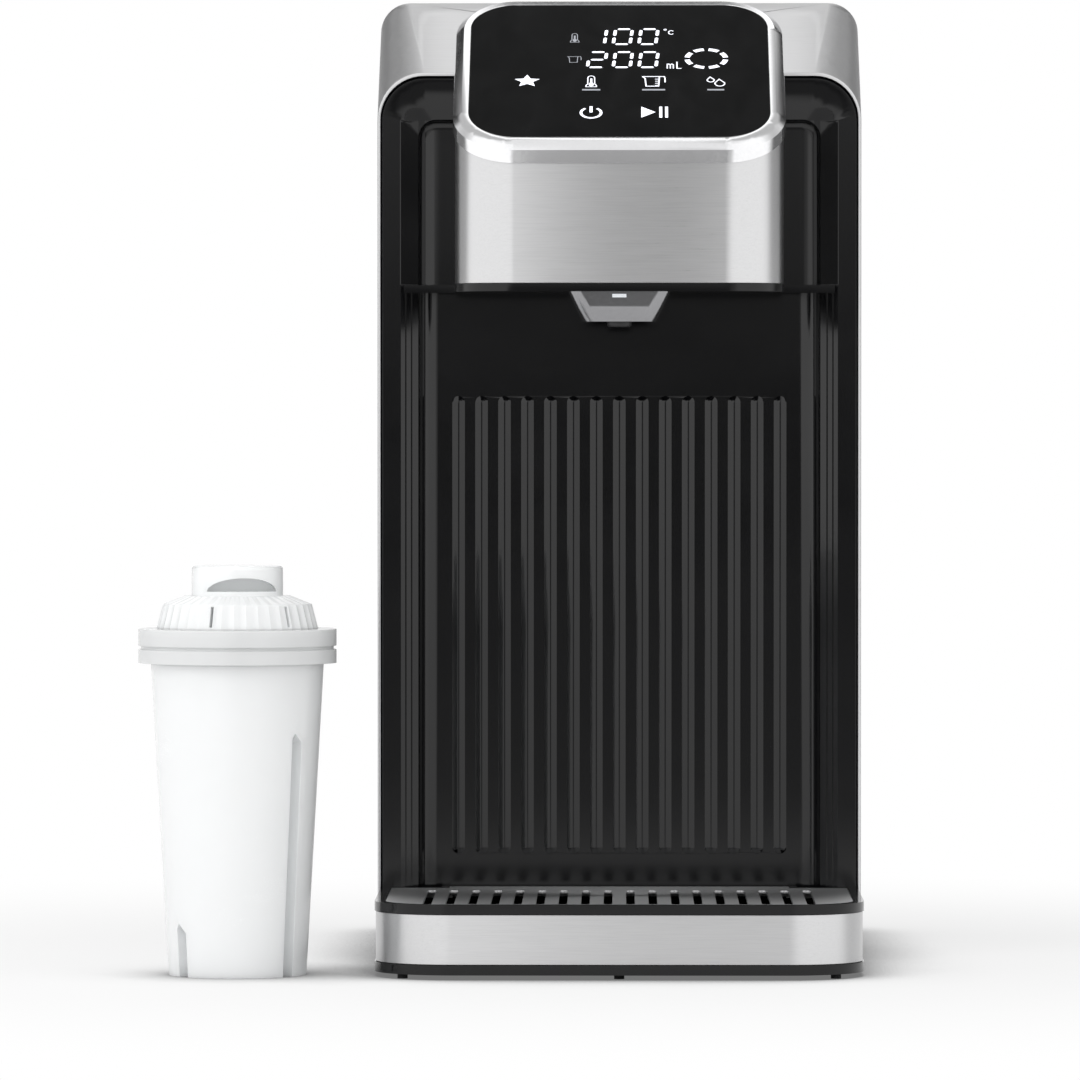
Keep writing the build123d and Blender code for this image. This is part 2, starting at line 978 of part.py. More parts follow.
# Outlet tip, hung by its flange on the plate of the head
tip_foot = shroud_foot - tip_drop
with BuildPart() as nozzle_tip:
    with BuildSketch(level(tip_foot)):
        with Locations((0, nozzle_y)):
            Circle(tip_radius)
    extrude(amount=cover_foot - tip_foot)
    chamfer(nozzle_tip.edges().group_by(Axis.Z)[0], tip_chamfer)
    with BuildSketch(level(cover_foot)):
        with Locations((0, nozzle_y)):
            Circle(tip_flange_radius)
    extrude(amount=tip_flange)
    with BuildSketch(level(tip_foot)):
        with Locations((0, nozzle_y)):
            Circle(hose_bore)
    extrude(amount=cover_foot + tip_flange - tip_foot, mode=Mode.SUBTRACT)
nozzle_tip.part.label = "nozzle_tip"
export_step(nozzle_tip.part, "parts/nozzle_tip.step")

# Steam separator: a round chamber over the tip, with an inlet at the back and a steam chimney
separator_port_y = nozzle_y + separator_radius + separator_port_length
with BuildPart() as steam_separator:
    with BuildSketch(level(separator_foot)):
        with Locations((0, nozzle_y)):
            Circle(separator_radius)
    extrude(amount=separator_height)
    with BuildSketch(level(separator_foot + separator_height)):
        with Locations((0, nozzle_y)):
            Circle(chimney_radius)
    extrude(amount=chimney_height)
    with BuildSketch(upright(separator_port_y)):
        with Locations((0, outlet_height)):
            Circle(hose_radius)
    extrude(amount=separator_port_y - nozzle_y)
    with BuildSketch(level(separator_foot + separator_wall)):
        with Locations((0, nozzle_y)):
            Circle(separator_radius - separator_wall)
    extrude(amount=separator_height - 2 * separator_wall, mode=Mode.SUBTRACT)
    with BuildSketch(level(separator_foot)):
        with Locations((0, nozzle_y)):
            Circle(hose_bore)
    extrude(amount=separator_height + chimney_height, mode=Mode.SUBTRACT)
    with BuildSketch(upright(separator_port_y)):
        with Locations((0, outlet_height)):
            Circle(hose_bore)
    extrude(amount=separator_port_y - nozzle_y, mode=Mode.SUBTRACT)
steam_separator.part.label = "steam_separator"
export_step(steam_separator.part, "parts/steam_separator.step")

# Heater: a cast cylinder with a water channel, a port at each end
with BuildPart() as heater_body:
    with BuildSketch(level(heater_foot - port_length)):
        with Locations((heater_x, heater_y)):
            Circle(hose_radius)
    extrude(amount=heater_length + 2 * port_length)
    with BuildSketch(level(heater_foot)):
        with Locations((heater_x, heater_y)):
            Circle(heater_radius)
    extrude(amount=heater_length)
    end_edges = heater_body.edges().filter_by(GeomType.CIRCLE).filter_by(
        lambda edge: edge.radius > heater_radius - tiny
    )
    chamfer(end_edges, heater_shoulder)
    with BuildSketch(level(heater_foot - port_length)):
        with Locations((heater_x, heater_y)):
            Circle(hose_bore)
    extrude(amount=heater_length + 2 * port_length, mode=Mode.SUBTRACT)
heater_body.part.label = "heater_body"
export_step(heater_body.part, "parts/heater_body.step")

# Heater bracket: a plate on the back of the fascia with two rings round the heater
with BuildPart() as heater_bracket:
    with BuildSketch(upright(fascia_back_y)):
        with Locations((heater_x, bracket_foot + bracket_height / 2)):
            Rectangle(bracket_width, bracket_height)
    extrude(amount=-bracket_plate)
    ring_heights = (
        bracket_foot + bracket_ring_inset,
        bracket_foot + bracket_height - bracket_ring_inset - bracket_ring_height,
    )
    for ring_height in ring_heights:
        with BuildSketch(level(ring_height)):
            with Locations((heater_x, heater_y)):
                Circle(heater_radius + bracket_ring_wall)
            with Locations((heater_x, (fascia_back_y + heater_y) / 2)):
                Rectangle(bracket_web, heater_y - fascia_back_y)
            with Locations((heater_x, heater_y)):
                Circle(heater_radius + shaft_gap, mode=Mode.SUBTRACT)
        extrude(amount=bracket_ring_height)
heater_bracket.part.label = "heater_bracket"
export_step(heater_bracket.part, "parts/heater_bracket.step")

# Two thermostats, saddled on the sides of the heater
with BuildPart() as thermostats:
    with BuildSketch(sideways(heater_x)):
        with Locations((heater_y, heater_middle)):
            Circle(thermostat_radius)
    extrude(amount=heater_radius + thermostat_length, both=True)
    with BuildSketch(level(heater_foot)):
        with Locations((heater_x, heater_y)):
            Circle(heater_radius + shaft_gap)
    extrude(amount=heater_length, mode=Mode.SUBTRACT)
thermostats.part.label = "thermostats"
export_step(thermostats.part, "parts/thermostats.step")

# Terminals of the heating element: a ceramic post and a blade at each end of the heater
with BuildPart() as heater_terminals:
    for end, away in ((heater_top, 1), (heater_foot, -1)):
        with BuildSketch(level(end)):
            with Locations((heater_x, heater_y + terminal_offset)):
                Circle(terminal_radius)
        extrude(amount=away * terminal_length)
        with BuildSketch(level(end + away * terminal_length)):
            with Locations((heater_x, heater_y + terminal_offset)):
                Rectangle(blade_thickness, blade_width)
        extrude(amount=away * blade_length)
heater_terminals.part.label = "heater_terminals"
export_step(heater_terminals.part, "parts/heater_terminals.step")

# Water temperature sensor beside the heater's outlet
with BuildPart() as ntc_sensor:
    with BuildSketch(level(heater_top)):
        with Locations((heater_x, heater_y - sensor_offset)):
            Circle(sensor_radius)
    extrude(amount=sensor_length)
    fillet(ntc_sensor.edges().group_by(Axis.Z)[-1], sensor_radius / 2)
ntc_sensor.part.label = "ntc_sensor"
export_step(ntc_sensor.part, "parts/ntc_sensor.step")

# Hose from the heater over to the separator, through the window in the fascia
outlet_hose = hose(
    [
        (heater_x, heater_y, heater_top + port_length),
        (heater_x, heater_y, outlet_height),
        (0, heater_y + heater_x * outlet_turn_share, outlet_height),
        (0, separator_port_y, outlet_height),
    ],
    outlet_bend,
)
outlet_hose.part.label = "outlet_hose"
export_step(outlet_hose.part, "parts/outlet_hose.step")

# Pump: rubber mount, housing with its chamber and two ports, motor and impeller
pump_chamber_foot = pump_foot + pump_floor
pump_top = pump_foot + pump_height
pump_inlet_y = pump_y + pump_inlet_offset
pump_inlet_z = pump_foot + pump_inlet_height
pump_outlet_y = pump_y - pump_outlet_offset
pump_outlet_z = pump_foot + pump_outlet_height
pump_port_x = pump_x - pump_radius - port_length
with BuildPart() as pump_mount:
    with BuildSketch(level(deck_height)):
        with Locations((pump_x, pump_y)):
            Circle(mount_radius)
            Circle(mount_hole, mode=Mode.SUBTRACT)
    extrude(amount=mount_thickness)
pump_mount.part.label = "pump_mount"
export_step(pump_mount.part, "parts/pump_mount.step")

with BuildPart() as pump_housing:
    with BuildSketch(level(pump_foot)):
        with Locations((pump_x, pump_y)):
            Circle(pump_radius)
    extrude(amount=pump_height)
    with BuildSketch(sideways(pump_port_x)):
        with Locations((pump_inlet_y, pump_inlet_z), (pump_outlet_y, pump_outlet_z)):
            Circle(hose_radius)
    extrude(amount=pump_x - pump_port_x)
    with BuildSketch(level(pump_chamber_foot)):
        with Locations((pump_x, pump_y)):
            Circle(chamber_radius)
    extrude(amount=chamber_height, mode=Mode.SUBTRACT)
    with BuildSketch(level(pump_chamber_foot)):
        with Locations((pump_x, pump_y)):
            Circle(shaft_radius + shaft_gap)
    extrude(amount=pump_height, mode=Mode.SUBTRACT)
    with BuildSketch(sideways(pump_port_x)):
        with Locations((pump_inlet_y, pump_inlet_z), (pump_outlet_y, pump_outlet_z)):
            Circle(hose_bore)
    extrude(amount=pump_x - pump_port_x, mode=Mode.SUBTRACT)
pump_housing.part.label = "pump_housing"
export_step(pump_housing.part, "parts/pump_housing.step")

with BuildPart() as pump_motor:
    with BuildSketch(level(pump_top)):
        with Locations((pump_x, pump_y)):
            Circle(motor_radius)
    extrude(amount=motor_height)
    with BuildSketch(level(pump_top + motor_height)):
        with Locations((pump_x, pump_y)):
            Circle(motor_boss_radius)
    extrude(amount=motor_boss)
    with BuildSketch(level(pump_top)):
        with Locations((pump_x, pump_y)):
            Circle(shaft_radius + shaft_gap)
    extrude(amount=shaft_into_motor + shaft_end_gap, mode=Mode.SUBTRACT)
pump_motor.part.label = "pump_motor"
export_step(pump_motor.part, "parts/pump_motor.step")

rotor_foot = pump_chamber_foot + rotor_lift
with BuildPart() as pump_rotor:
    with BuildSketch(level(rotor_foot)):
        with Locations((pump_x, pump_y)):
            Circle(rotor_radius)
    extrude(amount=rotor_disc)
    with BuildSketch(level(rotor_foot + rotor_disc)):
        with Locations((pump_x, pump_y)):
            with PolarLocations(rotor_radius / 2, vane_count):
                Rectangle(rotor_radius, vane_thickness)
        with Locations((pump_x, pump_y)):
            Circle(hub_radius)
    extrude(amount=vane_height)
    with BuildSketch(level(pump_chamber_foot + shaft_end_gap)):
        with Locations((pump_x, pump_y)):
            Circle(shaft_radius)
    extrude(amount=pump_top + shaft_into_motor - pump_chamber_foot - shaft_end_gap)
pump_rotor.part.label = "pump_rotor"
export_step(pump_rotor.part, "parts/pump_rotor.step")

# Flow meter: a flat body on the deck with an inlet underneath and an outlet towards the pump
meter_right = meter_width - meter_left
meter_x = (meter_right - meter_left) / 2
turbine_x = meter_x
meter_y = pump_inlet_y
meter_inlet_y = meter_y + meter_inlet_offset
meter_port_x = meter_right + port_length
meter_port_foot = deck_height - meter_port_drop
turbine_foot = deck_height + meter_floor
turbine_room = meter_height - meter_floor - meter_roof
with BuildPart() as flow_meter_body:
    with BuildSketch(level(deck_height)):
        with Locations((meter_x, meter_y)):
            RectangleRounded(meter_width, meter_depth, meter_radius)
    extrude(amount=meter_height)
    with BuildSketch(level(meter_port_foot)):
        with Locations((0, meter_inlet_y)):
            Circle(hose_radius)
    extrude(amount=meter_port_drop)
    with BuildSketch(sideways(meter_right)):
        with Locations((meter_y, pump_inlet_z)):
            Circle(hose_radius)
    extrude(amount=port_length)
    with BuildSketch(level(turbine_foot)):
        with Locations((turbine_x, meter_y)):
            Circle(turbine_chamber)
    extrude(amount=turbine_room, mode=Mode.SUBTRACT)
    with BuildSketch(level(turbine_foot - axle_end)):
        with Locations((turbine_x, meter_y)):
            Circle(axle_radius + shaft_gap)
    extrude(amount=turbine_room + 2 * axle_end, mode=Mode.SUBTRACT)
    with BuildSketch(level(meter_port_foot)):
        with Locations((0, meter_inlet_y)):
            Circle(hose_bore)
    extrude(amount=pump_inlet_z - meter_port_foot, mode=Mode.SUBTRACT)
    with BuildSketch(upright(meter_inlet_y)):
        with Locations((0, pump_inlet_z)):
            Circle(hose_bore)
    extrude(amount=meter_inlet_y - meter_y, mode=Mode.SUBTRACT)
    with BuildSketch(sideways(turbine_x)):
        with Locations((meter_y, pump_inlet_z)):
            Circle(hose_bore)
    extrude(amount=meter_port_x - turbine_x, mode=Mode.SUBTRACT)
flow_meter_body.part.label = "flow_meter_body"
export_step(flow_meter_body.part, "parts/flow_meter_body.step")

turbine_height = turbine_room - 2 * turbine_gap
with BuildPart() as flow_turbine:
    with BuildSketch(level(turbine_foot + turbine_gap)):
        with Locations((turbine_x, meter_y)):
            Circle(turbine_hub)
        with Locations((turbine_x, meter_y)):
            with PolarLocations(turbine_radius / 2, turbine_vanes):
                Rectangle(turbine_radius, turbine_vane)
    extrude(amount=turbine_height)
    with BuildSketch(level(turbine_foot - axle_end + shaft_gap)):
        with Locations((turbine_x, meter_y)):
            Circle(axle_radius)
    extrude(amount=turbine_room + 2 * axle_end - 2 * shaft_gap)
flow_turbine.part.label = "flow_turbine"
export_step(flow_turbine.part, "parts/flow_turbine.step")

# Hoses: dock to flow meter under the deck, flow meter to pump, pump to heater
dock_port_y = dock_y - spigot_port_end
inlet_hose = hose(
    [
        (0, dock_port_y, spigot_height),
        (0, meter_inlet_y, spigot_height),
        (0, meter_inlet_y, meter_port_foot),
    ],
    inlet_bend,
)
inlet_hose.part.label = "inlet_hose"
export_step(inlet_hose.part, "parts/inlet_hose.step")

pump_hose = hose([(meter_port_x, meter_y, pump_inlet_z), (pump_port_x, meter_y, pump_inlet_z)], 0)
pump_hose.part.label = "pump_hose"
export_step(pump_hose.part, "parts/pump_hose.step")

heater_hose = hose(
    [
        (pump_port_x, pump_outlet_y, pump_outlet_z),
        (heater_x, pump_outlet_y, pump_outlet_z),
        (heater_x, heater_y, heater_foot - port_length),
    ],
    heater_hose_bend,
)
heater_hose.part.label = "heater_hose"
export_step(heater_hose.part, "parts/heater_hose.step")

# Rear cover: pan that closes the tower, with stand-offs for the power board
cover_height = body_height - shell_wall - fit_gap
cover_radius = shell_rear_radius - shell_wall - fit_gap
power_x = power_right - power_width / 2
power_z = power_foot + power_height / 2
board_back_y = rear_cover_front_y - standoff_length
standoff_x = power_width / 2 - standoff_inset
standoff_z = power_height / 2 - standoff_inset
standoff_places = [
    (power_x + side * standoff_x, power_z + end * standoff_z) for side in (-1, 1) for end in (-1, 1)
]
with BuildPart() as rear_cover:
    extrude(
        arch(upright(tower_rear_y), core_width, deck_height, cover_height, cover_radius),
        amount=rear_wall + rear_rim,
    )
    extrude(
        arch(
            upright(rear_cover_front_y),
            core_width - 2 * rear_wall,
            deck_height - overrun,
            cover_height - rear_wall,
            cover_radius - rear_wall,
        ),
        amount=rear_rim + overrun,
        mode=Mode.SUBTRACT,
    )
    with BuildSketch(upright(rear_cover_front_y)):
        with Locations(standoff_places):
            Circle(standoff_radius)
    extrude(amount=standoff_length)
    with BuildSketch(upright(tower_rear_y)):
        with Locations(post_places):
            Circle(screw_head_radius + shaft_gap)
    extrude(amount=screw_head + screw_sunk, mode=Mode.SUBTRACT)
    with BuildSketch(upright(tower_rear_y)):
        with Locations(post_places):
            Circle(screw_radius + shaft_gap)
    extrude(amount=rear_wall, mode=Mode.SUBTRACT)
rear_cover.part.label = "rear_cover"
export_step(rear_cover.part, "parts/rear_cover.step")

with BuildPart() as cover_screws:
    with BuildSketch(upright(tower_rear_y - screw_sunk)):
        with Locations(post_places):
            Circle(screw_head_radius)
    extrude(amount=screw_head)
    with BuildSketch(upright(tower_rear_y - screw_sunk)):
        with Locations(post_places):
            Circle(screw_radius)
    extrude(amount=rear_wall + screw_length - screw_sunk - shaft_end_gap)
cover_screws.part.label = "cover_screws"
export_step(cover_screws.part, "parts/cover_screws.step")

# Power board on the stand-offs, and the components on its front
with BuildPart() as power_board:
    with BuildSketch(upright(board_back_y)):
        with Locations((power_x, power_z)):
            RectangleRounded(power_width, power_height, board_radius)
    extrude(amount=board_thickness)
power_board.part.label = "power_board"
export_step(power_board.part, "parts/power_board.step")

board_front_y = board_back_y - board_thickness
with BuildPart() as power_components:
    with BuildSketch(upright(board_front_y)):
        with Locations((power_x, power_foot + transformer_up)):
            Rectangle(transformer_size[0], transformer_size[2])
    extrude(amount=transformer_size[1])
    with BuildSketch(upright(board_front_y)):
        with Locations((power_x, power_foot + capacitor_up)):
            with GridLocations(capacitor_pitch, 0, capacitor_count, 1):
                Circle(capacitor_radius)
    extrude(amount=capacitor_height)
    with BuildSketch(upright(board_front_y)):
        with Locations((power_x, power_foot + relay_up)):
            with GridLocations(relay_pitch, 0, relay_count, 1):
                Rectangle(relay_size[0], relay_size[2])
    extrude(amount=relay_size[1])
    with BuildSketch(upright(board_front_y)):
        with Locations((power_x, power_foot + terminal_block_up)):
            Rectangle(terminal_block_size[0], terminal_block_size[2])
    extrude(amount=terminal_block_size[1])
power_components.part.label = "power_components"
export_step(power_components.part, "parts/power_components.step")

# Base chassis: inverted tray whose deck carries the machine and the tank, with the dock's well
chassis_front_y = fascia_back_y + fit_gap
base_screw_depths = (
    chassis_front_y + base_screw_inset,
    tank_front_y,
    tank_rear_y - base_screw_rear_inset,
)
base_screw_x = half_width - base_screw_side_inset
base_screw_places = [(side * base_screw_x, y) for side in (-1, 1) for y in base_screw_depths]
with BuildPart() as base_chassis:
    extrude(
        plan(level(plate_top), core_width, chassis_front_y, tank_rear_y, 0, base_radius),
        amount=deck_height - plate_top,
    )
    extrude(
        plan(
            level(plate_top),
            core_width - 2 * chassis_wall,
            chassis_front_y + chassis_wall,
            tank_rear_y - chassis_wall,
            0,
            base_radius - chassis_wall,
        ),
        amount=deck_height - plate_top - deck_thickness,
        mode=Mode.SUBTRACT,
    )
    with BuildSketch(level(well_floor)):
        with Locations((0, dock_y)):
            Circle(well_radius + well_wall)
    extrude(amount=deck_height - well_floor)
    with BuildSketch(level(plate_top)):
        with Locations(base_screw_places):
            Circle(boss_radius)
    extrude(amount=deck_height - plate_top)
    with BuildSketch(level(well_floor + well_wall)):
        with Locations((0, dock_y)):
            Circle(well_radius)
    extrude(amount=deck_height, mode=Mode.SUBTRACT)
    with BuildSketch(level(well_floor)):
        with Locations((0, dock_y)):
            Circle(spigot_stem_radius + fit_gap)
    extrude(amount=well_wall, mode=Mode.SUBTRACT)
    with BuildSketch(level(plate_top)):
        with Locations((0, meter_inlet_y)):
            Circle(hose_radius + fit_gap)
    extrude(amount=deck_height, mode=Mode.SUBTRACT)
    with BuildSketch(level(plate_top)):
        with Locations(base_screw_places):
            Circle(base_screw_radius + shaft_gap)
    extrude(amount=base_screw_length, mode=Mode.SUBTRACT)
    with BuildSketch(upright(tank_rear_y)):
        with Locations((gland_x, gland_height)):
            Circle(gland_radius + shaft_gap)
    extrude(amount=chassis_wall + overrun, mode=Mode.SUBTRACT)
    with BuildSketch(upright(tank_rear_y)):
        with Locations((gland_x, gland_height)):
            Circle(gland_flange_radius + shaft_gap)
    extrude(amount=gland_flange, mode=Mode.SUBTRACT)
base_chassis.part.label = "base_chassis"
export_step(base_chassis.part, "parts/base_chassis.step")

# Bottom plate with countersunk screws and vents under the electronics
with BuildPart() as base_bottom_plate:
    extrude(
        plan(level(foot_height), core_width, tower_front_y + fit_gap, tank_rear_y, 0, base_radius),
        amount=bottom_plate,
    )
    with BuildSketch(level(foot_height)):
        with Locations(base_screw_places):
            Circle(base_screw_head + shaft_gap)
    extrude(amount=base_screw_head_height + screw_sunk, mode=Mode.SUBTRACT)
    with BuildSketch(level(foot_height)):
        with Locations(base_screw_places):
            Circle(base_screw_radius + shaft_gap)
    extrude(amount=bottom_plate, mode=Mode.SUBTRACT)
    with BuildSketch(level(foot_height)):
        with Locations((0, pump_y + vent_behind_pump)):
            with GridLocations(pump_x, vent_pitch, 2, vent_count):
                SlotOverall(vent_length, vent_width)
    extrude(amount=bottom_plate, mode=Mode.SUBTRACT)
base_bottom_plate.part.label = "base_bottom_plate"
export_step(base_bottom_plate.part, "parts/base_bottom_plate.step")

with BuildPart() as base_screws:
    with BuildSketch(level(foot_height + screw_sunk)):
        with Locations(base_screw_places):
            Circle(base_screw_head)
    extrude(amount=base_screw_head_height)
    with BuildSketch(level(foot_height + screw_sunk)):
        with Locations(base_screw_places):
            Circle(base_screw_radius)
    extrude(amount=bottom_plate + base_screw_length - screw_sunk - shaft_end_gap)
base_screws.part.label = "base_screws"
export_step(base_screws.part, "parts/base_screws.step")

# Rubber feet: a strip under the tower, over the origin, and two round pads at the back
with BuildPart() as rubber_feet:
    with BuildSketch(level(0)):
        SlotOverall(core_width - 2 * strip_foot_side_inset, strip_foot_width)
        with Locations((0, tank_rear_y - pad_foot_inset)):
            with GridLocations(core_width - 2 * pad_foot_side_inset, 0, 2, 1):
                Circle(pad_foot_radius)
    extrude(amount=foot_height)
rubber_feet.part.label = "rubber_feet"
export_step(rubber_feet.part, "parts/rubber_feet.step")

# Cord gland in the rear wall, empty
with BuildPart() as cord_gland:
    with BuildSketch(upright(tank_rear_y)):
        with Locations((gland_x, gland_height)):
            Circle(gland_radius)
    extrude(amount=gland_length)
    with BuildSketch(upright(tank_rear_y)):
        with Locations((gland_x, gland_height)):
            Circle(gland_flange_radius)
    extrude(amount=gland_flange - shaft_gap)
    with BuildSketch(upright(tank_rear_y)):
        with Locations((gland_x, gland_height)):
            Circle(gland_bore)
    extrude(amount=gland_length, mode=Mode.SUBTRACT)
cord_gland.part.label = "cord_gland"
export_step(cord_gland.part, "parts/cord_gland.step")

# Docking spigot: stem with a port under the well, a flange on its floor, and a tube with a pin
well_bottom = well_floor + well_wall
spigot_top = well_bottom + spigot_flange + spigot_rise
pin_top = tank_foot + tank_wall - seat_below_floor - body_gap
with BuildPart() as dock_spigot:
    with BuildSketch(level(plate_top + fit_gap)):
        with Locations((0, dock_y)):
            Circle(spigot_stem_radius)
    extrude(amount=well_bottom - plate_top - fit_gap)
    with BuildSketch(level(well_bottom)):
        with Locations((0, dock_y)):
            Circle(spigot_flange_radius)
    extrude(amount=spigot_flange)
    with BuildSketch(level(well_bottom + spigot_flange)):
        with Locations((0, dock_y)):
            Circle(spigot_radius)
    extrude(amount=spigot_rise)
    with BuildSketch(upright(dock_port_y)):
        with Locations((0, spigot_height)):
            Circle(hose_radius)
    extrude(amount=dock_port_y - dock_y)
    with BuildSketch(level(spigot_height)):
        with Locations((0, dock_y)):
            Circle(hose_bore)
    extrude(amount=spigot_top, mode=Mode.SUBTRACT)
    with BuildSketch(upright(dock_port_y)):
        with Locations((0, spigot_height)):
            Circle(hose_bore)
    extrude(amount=dock_port_y - dock_y, mode=Mode.SUBTRACT)
    with BuildSketch(level(well_bottom)):
        with Locations((0, dock_y)):
            Rectangle(2 * hose_bore + spigot_web, spigot_web)
            Circle(spigot_pin_radius)
    extrude(amount=spigot_top - well_bottom)
    with BuildSketch(level(well_bottom)):
        with Locations((0, dock_y)):
            Circle(spigot_pin_radius)
    extrude(amount=pin_top - well_bottom)
dock_spigot.part.label = "dock_spigot"
export_step(dock_spigot.part, "parts/dock_spigot.step")

with BuildPart() as dock_seal:
    with BuildSketch(level(well_bottom + spigot_flange)):
        with Locations((0, dock_y)):
            Circle(seal_radius)
            Circle(spigot_radius + shaft_gap, mode=Mode.SUBTRACT)
    extrude(amount=seal_height)
dock_seal.part.label = "dock_seal"
export_step(dock_seal.part, "parts/dock_seal.step")

# Drip tray: a basin with a bright band between two rims, and a tongue into the fascia's recess
tray_foot = foot_height
band_foot = tray_foot + rim_foot_height
band_top = band_foot + band_height
tray_core_inset = rim_proud + band_wall + band_gap
seat_height = rim_top - grid_seat_depth
basin_foot = tray_foot + tray_floor
tongue_rear_y = tray_rear_y + tongue_length


def tray_plan(plane, inset, rear):
    """Plan outline of the tray, drawn in by inset at the sides and the front."""
    return plan(plane, core_width - 2 * inset, front_y + inset, rear, tray_front_radius - inset)


def tongue_plan(plane, inset):
    """Plan outline of the tongue, drawn in by inset; it starts inside the tray."""
    width = 2 * (tongue_half_width - inset)
    start = tray_rear_y - tray_wall - overrun
    return plan(plane, width, start, tongue_rear_y - inset, 0, tongue_radius - inset)


with BuildPart() as tray_body:
    extrude(tray_plan(level(tray_foot), 0, tray_rear_y), amount=rim_foot_height)
    extrude(tray_plan(level(band_foot), tray_core_inset, tray_rear_y), amount=band_height)
    extrude(tray_plan(level(band_top), 0, tray_rear_y), amount=rim_top_height)
    extrude(tongue_plan(level(tongue_foot), 0), amount=rim_top - tongue_foot)
    extrude(
        tray_plan(level(basin_foot), tray_wall, tray_rear_y - tongue_wall),
        amount=rim_top - basin_foot,
        mode=Mode.SUBTRACT,
    )
    extrude(
        tray_plan(level(seat_height), grid_inset - grid_gap, tray_rear_y - tongue_wall + grid_ledge),
        amount=grid_seat_depth,
        mode=Mode.SUBTRACT,
    )
    extrude(
        tongue_plan(level(tongue_foot + tray_floor), tongue_wall),
        amount=rim_top - tongue_foot,
        mode=Mode.SUBTRACT,
    )
tray_body.part.label = "tray_body"
export_step(tray_body.part, "parts/tray_body.step")

with BuildPart() as tray_band:
    extrude(
        tray_plan(level(band_foot + band_gap), rim_proud, tray_rear_y),
        amount=band_height - 2 * band_gap,
    )
    extrude(
        tray_plan(level(band_foot), rim_proud + band_wall, tray_rear_y + overrun),
        amount=band_height,
        mode=Mode.SUBTRACT,
    )
tray_band.part.label = "tray_band"
export_step(tray_band.part, "parts/tray_band.step")

peg_x = half_width - peg_side_inset
rear_pad_x = half_width - rear_pad_side_inset
with BuildPart() as tray_feet:
    with BuildSketch(level(0)):
        with Locations(
            (-peg_x, front_y + peg_behind_front),
            (peg_x, front_y + peg_behind_front),
            (0, front_y + middle_peg_behind_front),
        ):
            Circle(peg_radius)
        with Locations(
            (-rear_pad_x, tray_rear_y - rear_pad_inset), (rear_pad_x, tray_rear_y - rear_pad_inset)
        ):
            Circle(rear_pad_radius)
    extrude(amount=foot_height)
tray_feet.part.label = "tray_feet"
export_step(tray_feet.part, "parts/tray_feet.step")

# Drip grid: a slotted plate with a lip all round, which stands in the tray
grid_top = rim_top - grid_below_rim
grid_rear_y = tray_rear_y - tongue_wall + grid_ledge - grid_gap
tongue_inset = tongue_wall + grid_gap
slot_y = front_y + slot_behind_front + slot_length / 2
with BuildPart() as drip_grid:
    extrude(tray_plan(level(grid_top - grid_lip), grid_inset, grid_rear_y), amount=grid_lip)
    extrude(tongue_plan(level(grid_top - grid_lip), tongue_inset), amount=grid_lip)
    under_plate = grid_lip - grid_plate
    lip_inset = grid_inset + grid_lip_wall
    extrude(
        tray_plan(level(grid_top - grid_lip), lip_inset, grid_rear_y - grid_lip_wall),
        amount=under_plate,
        mode=Mode.SUBTRACT,
    )
    extrude(
        tongue_plan(level(grid_top - grid_lip), tongue_inset + grid_lip_wall),
        amount=under_plate,
        mode=Mode.SUBTRACT,
    )
    with BuildSketch(level(grid_top)):
        with Locations((0, slot_y)):
            with GridLocations(slot_pitch, 0, slot_count, 1):
                SlotOverall(slot_length, slot_width, rotation=90)
    extrude(amount=-grid_plate, mode=Mode.SUBTRACT)
drip_grid.part.label = "drip_grid"
export_step(drip_grid.part, "parts/drip_grid.step")

# Water tank, open at the top, with raised level marks on its sides
tank_floor_top = tank_foot + tank_wall
with BuildPart() as water_tank:
    extrude(
        plan(
            level(tank_foot), tank_width, tank_front_y, tank_rear_y, tank_front_radius, tank_rear_radius
        ),
        amount=tank_height,
    )
    extrude(
        plan(
            level(tank_floor_top),
            tank_width - 2 * tank_wall,
            tank_front_y + tank_wall,
            tank_rear_y - tank_wall,
            tank_front_radius - tank_wall,
            tank_rear_radius - tank_wall,
        ),
        amount=tank_height,
        mode=Mode.SUBTRACT,
    )
    with BuildSketch(sideways(-tank_width / 2 - mark_proud)):
        with Locations([(tank_front_y + mark_inset, tank_foot + height) for height in mark_heights]):
            Rectangle(mark_length, mark_height)
    extrude(amount=mark_proud + tank_wall / 2)
    with BuildSketch(sideways(tank_width / 2 + mark_proud)):
        with Locations([(tank_front_y + mark_inset, tank_foot + height) for height in mark_heights]):
            Rectangle(mark_length, mark_height)
    extrude(amount=-mark_proud - tank_wall / 2)
    with BuildSketch(level(tank_foot)):
        with Locations((0, dock_y)):
            Circle(neck_radius + fit_gap)
    extrude(amount=tank_wall, mode=Mode.SUBTRACT)
water_tank.part.label = "water_tank"
export_step(water_tank.part, "parts/water_tank.step")

